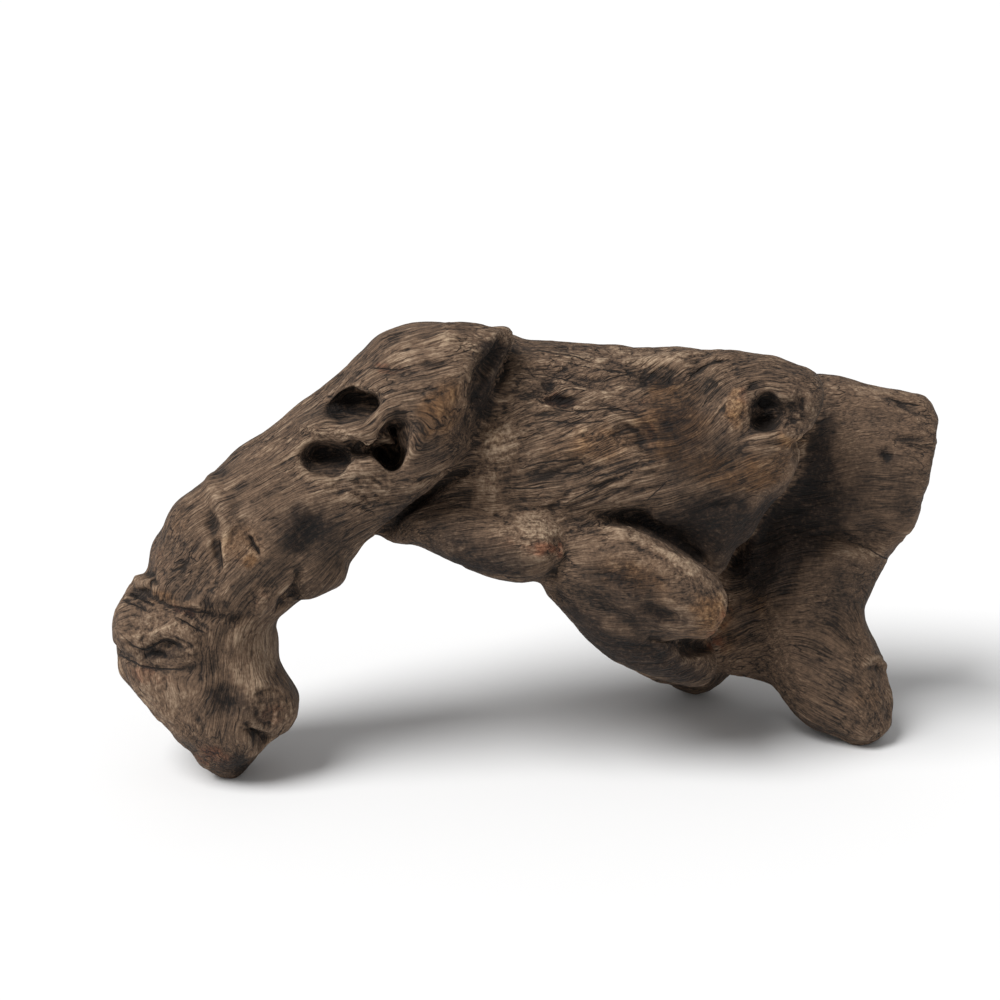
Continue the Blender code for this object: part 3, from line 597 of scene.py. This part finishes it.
def seen_share(points, normals):
    """How well every point is seen through the sight: 1 in front and facing it, 0 hidden, and
    the same with the skin counted until it turns a little away.

    The sight is cut into small cells, and a point counts by how little it lies behind the
    nearest point of its cell, and by how far its skin faces the eye.
    """
    sight, away = on_sight(points)
    cell = (sight // GRAIN_CELL).astype(int).clip(0, GRAIN_CELLS - 1)
    flat = cell[:, 1] * GRAIN_CELLS + cell[:, 0]
    facing = -(normals @ LOOK)
    nearest = np.full(GRAIN_CELLS**2, 1e9)
    np.minimum.at(nearest, flat[facing > 0.05], away[facing > 0.05])
    behind = away - nearest[flat]
    front = np.clip(1.8 - behind / COVER_DEPTH, 0, 1)
    return front * np.clip(facing * 2.6 + 0.25, 0, 1), front * np.clip(facing * 4 + 1, 0, 1)


def grain_direction(points, normals, seen):
    """Unit direction of the grain at every point of the skin.

    In sight, the tangents of the grain lines are averaged on a coarse grid, each with a bell
    that fades with distance, and read off between its cells. Out of sight, the limbs' paths
    give the direction in the same way. The direction is laid flat into the skin.
    """
    samples, tangents = [], []
    for line in GRAIN_LINES:
        line = smooth_line(np.reshape(line, (-1, 2)), GRAIN_SPACING)
        samples.append(line)
        tangents.append(unit(np.gradient(line, axis=0)))
    samples, tangents = np.vstack(samples), np.vstack(tangents)
    middle = (np.arange(GRAIN_CELLS) + 0.5) * GRAIN_CELL
    grid = np.stack(np.meshgrid(middle, middle), -1).reshape(-1, 2)
    flow = np.zeros((len(grid), 2))
    for rows in np.array_split(np.arange(len(grid)), 40):
        gap = ((grid[rows, None] - samples[None]) ** 2).sum(-1)
        weight = np.exp(-gap / (2 * GRAIN_REACH**2)) + FAR_WEIGHT / (1 + gap / FAR_REACH**2)
        flow[rows] = weight @ tangents / weight.sum(1, keepdims=True)
    flow = flow.reshape(GRAIN_CELLS, GRAIN_CELLS, 2)
    sight, _ = on_sight(points)
    place = np.clip(sight / GRAIN_CELL - 0.5, 0, GRAIN_CELLS - 1.001)
    low = place.astype(int)
    part = place - low
    read = sum(
        flow[low[:, 1] + j, low[:, 0] + i]
        * ((part[:, 0] if i else 1 - part[:, 0]) * (part[:, 1] if j else 1 - part[:, 1]))[:, None]
        for i, j in itertools.product((0, 1), repeat=2)
    )
    front = unit(read[:, :1] * np.array([1.0, 0, 0]) - read[:, 1:] * UPRIGHT)
    beds, leads = [], []
    for path in LIMB_PATHS:
        path = smooth_line([through_sight(*station) for station in path], PATH_SPACING)
        beds.append(path)
        leads.append(unit(np.gradient(path, axis=0)))
    beds, leads = np.vstack(beds), np.vstack(leads)
    gap = ((points[:, None] - beds[None]) ** 2).sum(-1)
    weight = np.exp(-(gap - gap.min(1, keepdims=True)) / (2 * PATH_REACH**2))
    back = unit(weight @ leads)
    mixed = unit(seen[:, None] * front + (1 - seen[:, None]) * back)
    return unit(mixed - (mixed * normals).sum(1, keepdims=True) * normals + 0.02 * mixed)


def solved_on_skin(points, edges, slopes, start):
    """Values whose change along every edge of the skin is as near as can be to the wanted slope.

    The least squares of all edges are solved by conjugate gradients, for several sets of
    slopes at once, with a weak pull towards the start.
    """
    count = len(points)
    i, j = edges.T
    rise = np.einsum("kec,ec->ek", 0.5 * (slopes[:, i] + slopes[:, j]), points[j] - points[i])
    order = np.argsort(np.concatenate([i, j]), kind="stable")
    others = np.concatenate([j, i])[order]
    sizes = np.bincount(np.concatenate([i, j]), minlength=count)
    starts = np.concatenate([[0], np.cumsum(sizes)[:-1]])
    gathered = np.concatenate([-rise, rise])[order]
    wanted = np.add.reduceat(gathered, starts, axis=0) + GRAIN_HOLD * start
    weight = (sizes + GRAIN_HOLD)[:, None]

    def spread(values):
        return weight * values - np.add.reduceat(values[others], starts, axis=0)

    values = start.copy()
    rest = wanted - spread(values)
    eased = rest / weight
    lead = eased.copy()
    power = (rest * eased).sum(0)
    for _ in range(SOLVER_STEPS):
        moved = spread(lead)
        share = power / (lead * moved).sum(0)
        values += share * lead
        rest -= share * moved
        eased = rest / weight
        after = (rest * eased).sum(0)
        lead = eased + (after / power) * lead
        power = after
    return values


def grain_places(points, normals, edges, seen):
    """Coordinates that follow the grain: two across it and one along it, in millimetres."""
    along = grain_direction(points, normals, seen)
    depth = unit(np.array([0.0, 1.0, 0.0]) - along[:, 1:2] * along)
    across = np.cross(along, depth)
    x, y, z = points.T
    start = np.stack([y, z - 0.5 * x, x + 0.5 * z], 1)
    return solved_on_skin(points, edges, np.stack([depth, across, along]), start)


def ridged(grain, width, length, seed):
    """Rounded ridges with sharp valleys along the grain, from 0 in a valley to about 1."""
    return np.abs(noise(grain / (width, width, length), seed)) ** 0.8


def furrows(points, grain):
    """Height of the furrows, in shares of the furrow height: ridged noise at three widths."""
    bent = grain.copy()
    bent[:, :2] += FURROW_WANDER * wander(points, 17, 40)
    return sum(
        share * (ridged(bent, width, length, seed) - FURROW_BED)
        for seed, (width, length, share) in enumerate(FURROWS, 1)
    )


def line_gaps(sight, line):
    """For every place: its distance to the line, on which side it lies, and how far along."""
    line = smooth_line(line, 4.0)
    legs = np.diff(line, axis=0)
    sizes = np.linalg.norm(legs, axis=1)
    run = np.concatenate([[0], np.cumsum(sizes)]) / sizes.sum()
    off = sight[:, None] - line[None, :-1]
    share = np.clip((off * legs).sum(-1) / sizes**2, 0, 1)
    off = off - share[..., None] * legs
    gap = np.linalg.norm(off, axis=-1)
    best = gap.argmin(1)
    rows = np.arange(len(sight))
    off, leg = off[rows, best], legs[best]
    side = np.sign(leg[:, 0] * off[:, 1] - leg[:, 1] * off[:, 0])
    return gap[rows, best], side, run[best] + share[rows, best] * (run[best + 1] - run[best])


def near_line(sight, seen, line, reach):
    """The points in sight whose place is within reach of the line, and where they lie by it."""
    line = np.reshape(line, (-1, 2)).astype(float)
    low, high = line.min(0) - reach, line.max(0) + reach
    rows = np.flatnonzero((seen > 0.02) & (sight > low).all(1) & (sight < high).all(1))
    if not len(rows):
        return rows, rows
    gap, side, along = line_gaps(sight[rows], line)
    close = gap < reach
    return rows[close], (gap[close], side[close], along[close])


def stroke_heights(points, sight, away, seen):
    """Height of all the strokes: each is a bell across its line that fades at both ends."""
    total = np.zeros(len(points))
    wobble = STROKE_WOBBLE * wander(points, 6, 5)
    for height, half_width, line in STROKES:
        rows, found = near_line(sight + wobble, seen, line, 2.4 * half_width)
        if not len(rows):
            continue
        gap, _, along = found
        taper = np.clip(0.3 + 3.2 * np.minimum(along, 1 - along), 0, 1)
        behind = np.clip(1.6 - (away[rows] - np.percentile(away[rows], 10)) / STROKE_DEPTH, 0, 1)
        total[rows] += height * taper * np.exp(-((gap / (half_width * taper)) ** 2)) * behind * seen[rows]
    return total


def crack_lines(points, sight, seen):
    """How far every point lies to one side of the nearest crack, and how much it counts.

    The side is signed, so that it passes through nothing on the crack itself, and a material
    can draw a line that is finer than the skin's cells.
    """
    side_of, share = np.full(len(points), 9.0), np.zeros(len(points))
    wobble = CRACK_WOBBLE * wander(points, 2.2, 7)
    for half_width, line in CRACKS:
        rows, found = near_line(sight + wobble, seen, line, CRACK_REACH)
        if not len(rows):
            continue
        gap, side, along = found
        taper = np.clip(5 * np.minimum(along, 1 - along), 0, 1)
        nearer = gap < np.abs(side_of[rows]) * 3
        rows, value = rows[nearer], (gap * side / half_width)[nearer]
        side_of[rows] = value
        share[rows] = (taper * np.clip(1.4 - gap / 5, 0, 1))[nearer] * seen[rows]
    return side_of, share


def stain_and_painted_light_share(kind, points, sight, seen):
    """How strongly this kind of stain covers every point, where the dark and pale kinds are partly painted
    shade and painted highlight: soft ovals with ragged edges in sight, and patches of noise out of sight."""
    ragged = sight + STAIN_RAG * (wander(points, 7, 50) + 0.45 * wander(points, 2.6, 52))
    left = np.ones(len(points))
    for right, down, wide, high, turn, strength in STAINS_AND_PAINTED_LIGHT[kind]:
        turn = math.radians(turn)
        off = ragged - (right, down)
        across = (off[:, 0] * math.cos(turn) + off[:, 1] * math.sin(turn)) / wide
        upward = (off[:, 1] * math.cos(turn) - off[:, 0] * math.sin(turn)) / high
        left *= 1 - strength * np.exp(-0.9 * (across**2 + upward**2) ** 1.5)
    seed = 70 + len(kind)
    hidden = 1.8 * noise(points / 34, seed) + 0.8 * noise(points / 15, seed + 9) - 0.35
    hidden = np.clip(hidden, 0, HIDDEN_SHARES.get(kind, HIDDEN_SHARE))
    return (1 - left) * seen + hidden * (1 - seen)


def new_object(name, mesh):
    made = bpy.data.objects.new(name, mesh)
    bpy.context.scene.collection.objects.link(made)
    return made


def settled(target):
    """Replaces the object's mesh with what its modifiers make of it."""
    graph = bpy.context.evaluated_depsgraph_get()
    mesh = bpy.data.meshes.new_from_object(target.evaluated_get(graph))
    target.modifiers.clear()
    target.data = mesh
    return target


def fine_skin(name, cell):
    """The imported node's surface, merged, rounded off and remade with points a cell apart."""
    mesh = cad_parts[LOG_NODE].data.copy()
    merged = bmesh.new()
    merged.from_mesh(mesh)
    bmesh.ops.remove_doubles(merged, verts=merged.verts, dist=1e-5)
    merged.to_mesh(mesh)
    merged.free()
    mesh.materials.clear()
    made = new_object(name, mesh)
    rounder = made.modifiers.new("rounder", "SUBSURF")
    rounder.levels = rounder.render_levels = 2
    voxels = made.modifiers.new("voxels", "REMESH")
    voxels.mode = "VOXEL"
    voxels.voxel_size = cell
    soften = made.modifiers.new("soften", "SMOOTH")
    soften.factor, soften.iterations = 0.5, 3
    return settled(made)


def shifted(points):
    """The skin's points after every one of the shifts, each fading like a bell round its place."""
    sight, _ = on_sight(points)
    moved = points.copy()
    for right, down, wide, high, to_right, upward in SHIFTS:
        moved += bell(sight, right, down, wide, high)[:, None] * (to_right, 0.0, upward)
    return moved


def neighbour_mean(values, edges, rounds):
    """Values averaged with those of their neighbours, again and again."""
    count = np.bincount(edges.ravel(), minlength=len(values))[:, None]
    i, j = edges.T
    for _ in range(rounds):
        total = np.stack(
            [
                np.bincount(i, values[j, k], len(values)) + np.bincount(j, values[i, k], len(values))
                for k in range(values.shape[1])
            ],
            1,
        )
        values = 0.5 * values + 0.5 * total / count
    return values


def sign(operation, swapped=False):
    """The method behind a sign: it adds the math node of this operation."""

    def method(self, *other):
        return self.graph.math(operation, *((*other, self) if swapped else (self, *other)))

    return method


class Value:
    """A node's output that is worked with like a number: every sign adds a math node."""

    __add__, __sub__, __rsub__ = sign("ADD"), sign("SUBTRACT"), sign("SUBTRACT", swapped=True)
    __mul__, __truediv__, __rtruediv__ = sign("MULTIPLY"), sign("DIVIDE"), sign("DIVIDE", swapped=True)
    __pow__, __abs__ = sign("POWER"), sign("ABSOLUTE")

    def __init__(self, graph, socket):
        self.graph, self.socket = graph, socket

    def clamped(self):
        """The same value, held between 0 and 1 by the math node that it comes from."""
        self.socket.node.use_clamp = True
        return self


class Graph:
    """A node tree whose nodes are added with their inputs, each a value or a plain number."""

    def __init__(self, tree):
        self.tree = tree

    def feed(self, socket, value):
        if isinstance(value, Value):
            self.tree.links.new(value.socket, socket)
        else:
            socket.default_value = value

    def add(self, kind, inputs, output=0, **settings):
        made = self.tree.nodes.new(kind)
        for name, value in settings.items():
            setattr(made, name, value)
        for key, value in inputs.items():
            self.feed(made.inputs[key], value)
        return Value(self, made.outputs[output])

    def math(self, operation, *values):
        return self.add("ShaderNodeMath", dict(enumerate(values)), operation=operation)

    def vector(self, operation, *values):
        return self.add("ShaderNodeVectorMath", dict(enumerate(values)), operation=operation)

    def noise(self, place, scale, detail, roughness=0.5, output=0):
        inputs = {"Vector": place, "Scale": scale, "Detail": detail, "Roughness": roughness}
        return self.add("ShaderNodeTexNoise", inputs, output)

    def parts(self, vector):
        """The three numbers of a vector."""
        outputs = self.add("ShaderNodeSeparateXYZ", {0: vector}).socket.node.outputs
        return [Value(self, output) for output in outputs]

    def mix(self, share, first, second, blend="MIX"):
        inputs = {0: share, 6: first, 7: second}
        return self.add("ShaderNodeMix", inputs, 2, data_type="RGBA", blend_type=blend)

    def group(self, tree, **inputs):
        return self.add("ShaderNodeGroup", inputs, node_tree=tree)


def new_group(name, inputs, output):
    """The graph of an empty shader group, its input values and its output socket. An input
    without a default is a vector."""
    tree = bpy.data.node_groups.new(name, "ShaderNodeTree")
    for label, default in inputs.items():
        kind = "NodeSocketVector" if default is None else "NodeSocketFloat"
        socket = tree.interface.new_socket(label, in_out="INPUT", socket_type=kind)
        if default is not None:
            socket.default_value = default
    tree.interface.new_socket(output, in_out="OUTPUT", socket_type="NodeSocketFloat")
    graph = Graph(tree)
    given = tree.nodes.new("NodeGroupInput").outputs
    result = tree.nodes.new("NodeGroupOutput").inputs[output]
    return graph, {label: Value(graph, given[label]) for label in inputs}, result


def grain_ridges():
    """Ridges along the grain, from 0 in a sharp valley to 1: noise stretched along the grain,
    whose distance from its middle value is the height."""
    inputs = {"Grain": None, "Width": 1.0, "Length": 20.0, "Shift": 0.0}
    graph, given, height = new_group("grain_ridges", inputs, "Height")
    first, second, along = graph.parts(given["Grain"])
    first = first / given["Width"] + given["Shift"]
    stretched = {0: first, 1: second / given["Width"], 2: along / given["Length"]}
    field = graph.noise(graph.add("ShaderNodeCombineXYZ", stretched), 1.0, 1.5, 0.55)
    graph.feed(height, (abs(field * 5.0 - 2.5) ** 0.6).clamped())
    return graph.tree


def ragged_patch():
    """A mask whose soft edge is broken up by noise."""
    inputs = {"Mask": 0.0, "Place": None, "Size": 3.0, "Break": 0.6, "Sharpness": 2.0}
    graph, given, mask = new_group("ragged_patch", inputs, "Mask")
    field = graph.noise(given["Place"], 1000.0 / given["Size"], 3.0, 0.6)
    lift = (field - 0.5) * given["Break"] * 2.0 + given["Mask"]
    sharp = ((lift - 0.5) * given["Sharpness"] + 0.5).clamped()
    graph.feed(mask, sharp * (given["Mask"] * 1.6).clamped())
    return graph.tree


def wood_material(shape, finish):
    """Furrowed, weathered wood: fibres, cracks and crumbs as bump, darker in every valley and paler on
    every ridge, over patches of ochre and red-brown wood, of dark wood and painted shade, and of pale wood
    and painted highlight."""
    made = bpy.data.materials.new("weathered_wood")
    made.use_nodes = True
    graph = Graph(made.node_tree)
    shader = made.node_tree.nodes["Principled BSDF"]
    ridges, patch = grain_ridges(), ragged_patch()
    place = graph.add("ShaderNodeTexCoord", {}, "Object")

    def attribute(name):
        return graph.add("ShaderNodeAttribute", {}, "Vector", attribute_name=name)

    def patched(mask, size, ragged, sharpness):
        return graph.group(patch, Mask=mask, Place=place, Size=size, Break=ragged, Sharpness=sharpness)

    drift = graph.vector("SUBTRACT", graph.noise(place, 70.0, 1.0, output="Color"), (0.5, 0.5, 0.5))
    drift = graph.vector("MULTIPLY", drift, (RIDGE_DRIFT, RIDGE_DRIFT, 0.0))
    grain = graph.vector("ADD", attribute("grain"), drift)
    coarse, middle, fine = (
        graph.group(ridges, Grain=grain, Width=width, Length=length, Shift=shift)
        for width, length, shift in RIDGES
    )
    ochre, dark, pale = graph.parts(attribute("tint_shade_and_highlight"))
    red, rough, calm = graph.parts(attribute("wear"))
    proud, raised, _ = graph.parts(attribute("form"))
    crack_side, crack_share, _ = graph.parts(attribute("crack"))
    ochre, dark = patched(ochre, 8.0, 0.6, 1.5), patched(dark, 6.0, 0.5, 1.6)
    pale, red = patched(pale, 5.0, 0.7, 1.8), patched(red, 4.0, 0.7, 1.6)

    # Cracks: the placed ones, and fine ones where ridged noise comes down to nothing.
    bound = (1.0 - rough * 0.7) * (1.0 - calm * 0.5)
    placed = (1.25 - abs(crack_side)).clamped() * crack_share
    where = (graph.noise(place, 130.0, 2.0) * 7.0 - 3.3).clamped()
    checks = (1.0 - coarse * 3.2).clamped() * where * (bound * 0.75)
    cracks = graph.math("MAXIMUM", placed, checks)

    # Crumbs and pits, which have no direction, on the rough patches and a little elsewhere.
    crumbs = graph.noise(place, 700.0, 3.0, 0.65)
    pits = graph.add("ShaderNodeTexVoronoi", {"Vector": place, "Scale": 420.0}, "Distance")
    height = (coarse * 1.2 + middle * 1.3 + fine * 0.7) * bound - cracks * 3.5
    height = (crumbs * 4.5 + pits * 1.6) * (rough * 0.8 + 0.2) + height
    bump = {"Strength": 1.0, "Distance": shape.fibre_height, "Height": height}
    graph.feed(shader.inputs["Normal"], graph.add("ShaderNodeBump", bump))

    # How light every spot is, from grain, wear and the pale patches, which are partly painted highlight: 0
    # dark and deep, 1 pale and proud.
    grit = crumbs - 0.5
    tone = (coarse * 0.24 + middle * 0.38 - 0.38) * (1.0 - calm * 0.8) + (fine * 0.28 - 0.17)
    tone = tone * (1.0 - rough * 0.6) + proud * 0.14 + raised * 0.12
    tone += graph.noise(place, 45.0, 4.0, 0.6) * 0.75
    tone += grit * (rough * 1.2 + 0.6) + (rough * 0.04 + 0.02) - calm * 0.09 + pale * 0.30
    tone = (tone - cracks * 0.6).clamped()
    colour = graph.add("ShaderNodeValToRGB", {0: tone})
    stops = colour.socket.node.color_ramp.elements
    stops[0].position, stops[0].color = 0.05, (*finish.heart_colour, 1)
    stops[1].position, stops[1].color = 1.0, (*finish.worn_colour, 1)
    stops.new(0.48).color = (*finish.wood_colour, 1)
    greyed = (graph.noise(place, 70.0, 3.0) * 2.0 - 1.15).clamped()
    # The dark patches, partly darker wood and partly painted shade, darken the colour, less where there are
    # crumbs.
    dark_wood_and_shade = dark * (grit * -1.3 + 1.0).clamped()
    for share, stain in ((ochre * 0.8, WARM), (red * 0.8, RUDDY), (greyed, COOL), (dark_wood_and_shade, SHADE_AND_DARK_WOOD)):
        colour = graph.mix(share, colour, graph.mix(1.0, colour, stain, "MULTIPLY"))
    graph.feed(shader.inputs["Base Color"], colour)
    graph.feed(shader.inputs["Roughness"], (tone * 0.14 + (finish.roughness - 0.07)).clamped())
    shader.inputs["Specular IOR Level"].default_value = 0.3
    return made


def build_log(shape, finish):
    """Works the fine skin along its normals: furrows, which are lower on calm and rough wood,
    crumbled patches, and strokes. Then stores what the material reads, and thins the mesh."""
    log = fine_skin("weathered_log", shape.skin_cell)
    mesh = log.data
    edges, points = mesh_edges(mesh), shifted(mesh_values(mesh, "co") / MM)
    set_points(mesh, points)
    normals = mesh_values(mesh, "normal")
    seen, reached = seen_share(points, normals)
    grain = grain_places(points, normals, edges, seen)
    sight, away = on_sight(points)
    stains = {kind: stain_and_painted_light_share(kind, points, sight, reached) for kind in STAINS_AND_PAINTED_LIGHT}
    calm, rough = stains["calm"], stains["rough"]
    deeper = 1 + 0.8 * bell(sight, *DEEPEST_FURROWS) * seen
    height = shape.furrow_height / MM * furrows(points, grain) * deeper
    height *= (1 - 0.55 * calm) * (1 - 0.4 * rough)
    crumbled = noise(points / 2.3, 60) + noise(points / 5, 61) + ridged(grain, 3.0, 9.0, 62)
    height += 0.5 * rough * crumbled + stroke_heights(points, sight, away, reached)
    worked = points + normals * height[:, None]
    worked[:, 2] = np.maximum(worked[:, 2], 0)
    set_points(mesh, worked)
    normals = mesh_values(mesh, "normal")
    near = neighbour_mean(worked, edges, 3)
    far = neighbour_mean(near, edges, 40)
    proud = np.clip(((worked - near) * normals).sum(1) / 0.16, -1.5, 1.0)
    raised = np.clip(((worked - far) * normals).sum(1) / 0.9, -1.5, 1.0)
    store(mesh, "grain", *grain.T)
    store(mesh, "form", proud, raised)
    store(mesh, "tint_shade_and_highlight", stains["ochre"], stains["dark"], stains["pale"])
    store(mesh, "wear", stains["red"], rough, calm)
    store(mesh, "crack", *crack_lines(points, sight, seen))
    fewer = log.modifiers.new("fewer", "DECIMATE")
    fewer.ratio = min(1.0, MOST_TRIANGLES / sum(len(p.vertices) - 2 for p in mesh.polygons))
    settled(log)
    log.data.shade_smooth()
    log.data.materials.append(wood_material(shape, finish))
    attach(log, "root")
    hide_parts(LOG_NODE)


class LogOperator(bpy.types.Operator):
    """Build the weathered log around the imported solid"""

    bl_idname = "driftwood.log"
    bl_label = "Weathered Log"

    def execute(self, context):
        build_log(context.scene.log_shape, context.scene.log_finish)
        return {"FINISHED"}


class StageOperator(bpy.types.Operator):
    """Build the pale floor, the soft lights and the camera"""

    bl_idname = "driftwood.stage"
    bl_label = "Stage"

    def execute(self, context):
        look = context.scene.stage_look
        half = look.floor_width / 2
        floor = bpy.data.meshes.new("floor")
        corners = [(-half, -half, 0), (half, -half, 0), (half, half, 0), (-half, half, 0)]
        floor.from_pydata(corners, [], [(0, 1, 2, 3)])
        pale = bpy.data.materials.new("pale_floor")
        pale.use_nodes = True
        shader = pale.node_tree.nodes["Principled BSDF"]
        shader.inputs["Base Color"].default_value = (*look.floor_colour, 1)
        shader.inputs["Roughness"].default_value = 0.9
        shader.inputs["Specular IOR Level"].default_value = 0.1
        floor.materials.append(pale)
        new_object("floor", floor)
        world = bpy.data.worlds.new("sky")
        world.use_nodes = True
        world.node_tree.nodes["Background"].inputs["Color"].default_value = (1, 1, 1, 1)
        world.node_tree.nodes["Background"].inputs["Strength"].default_value = look.sky_strength
        context.scene.world = world
        light = bpy.data.lights.new("key_light", "SUN")
        light.energy, light.angle = look.key_power, look.key_width
        lamp = new_object("key_light", light)
        lamp.rotation_euler = Vector(KEY_LIGHT_LOOK).to_track_quat("-Z", "Y").to_euler()
        context.scene.view_settings.view_transform = "Standard"
        camera = new_object("camera", bpy.data.cameras.new("camera"))
        camera.data.sensor_width = 36
        camera.data.lens = look.lens
        camera.data.clip_start = 0.01
        camera.location = Vector(EYE * MM)
        camera.rotation_euler = Vector(LOOK).to_track_quat("-Z", "Y").to_euler()
        context.scene.camera = camera
        return {"FINISHED"}


class DriftwoodPanel(bpy.types.Panel):
    """The log's sizes and colours, and the stage"""

    bl_idname = "VIEW3D_PT_driftwood"
    bl_label = "Driftwood"
    bl_space_type = "VIEW_3D"
    bl_region_type = "UI"
    bl_category = "Driftwood"

    def draw(self, context):
        for group, operator in (
            (context.scene.log_shape, None),
            (context.scene.log_finish, LogOperator),
            (context.scene.stage_look, StageOperator),
        ):
            for name in group.__annotations__:
                self.layout.prop(group, name)
            if operator:
                self.layout.operator(operator.bl_idname)


CLASSES = (LogShape, LogFinish, StageLook, LogOperator, StageOperator, DriftwoodPanel)


def register():
    for kind in CLASSES:
        bpy.utils.register_class(kind)
    bpy.types.Scene.log_shape = bpy.props.PointerProperty(type=LogShape)
    bpy.types.Scene.log_finish = bpy.props.PointerProperty(type=LogFinish)
    bpy.types.Scene.stage_look = bpy.props.PointerProperty(type=StageLook)


def unregister():
    del bpy.types.Scene.log_shape, bpy.types.Scene.log_finish, bpy.types.Scene.stage_look
    for kind in reversed(CLASSES):
        bpy.utils.unregister_class(kind)


def main():
    register()
    bpy.ops.driftwood.log()
    bpy.ops.driftwood.stage()


if __name__ == "__main__":
    main()
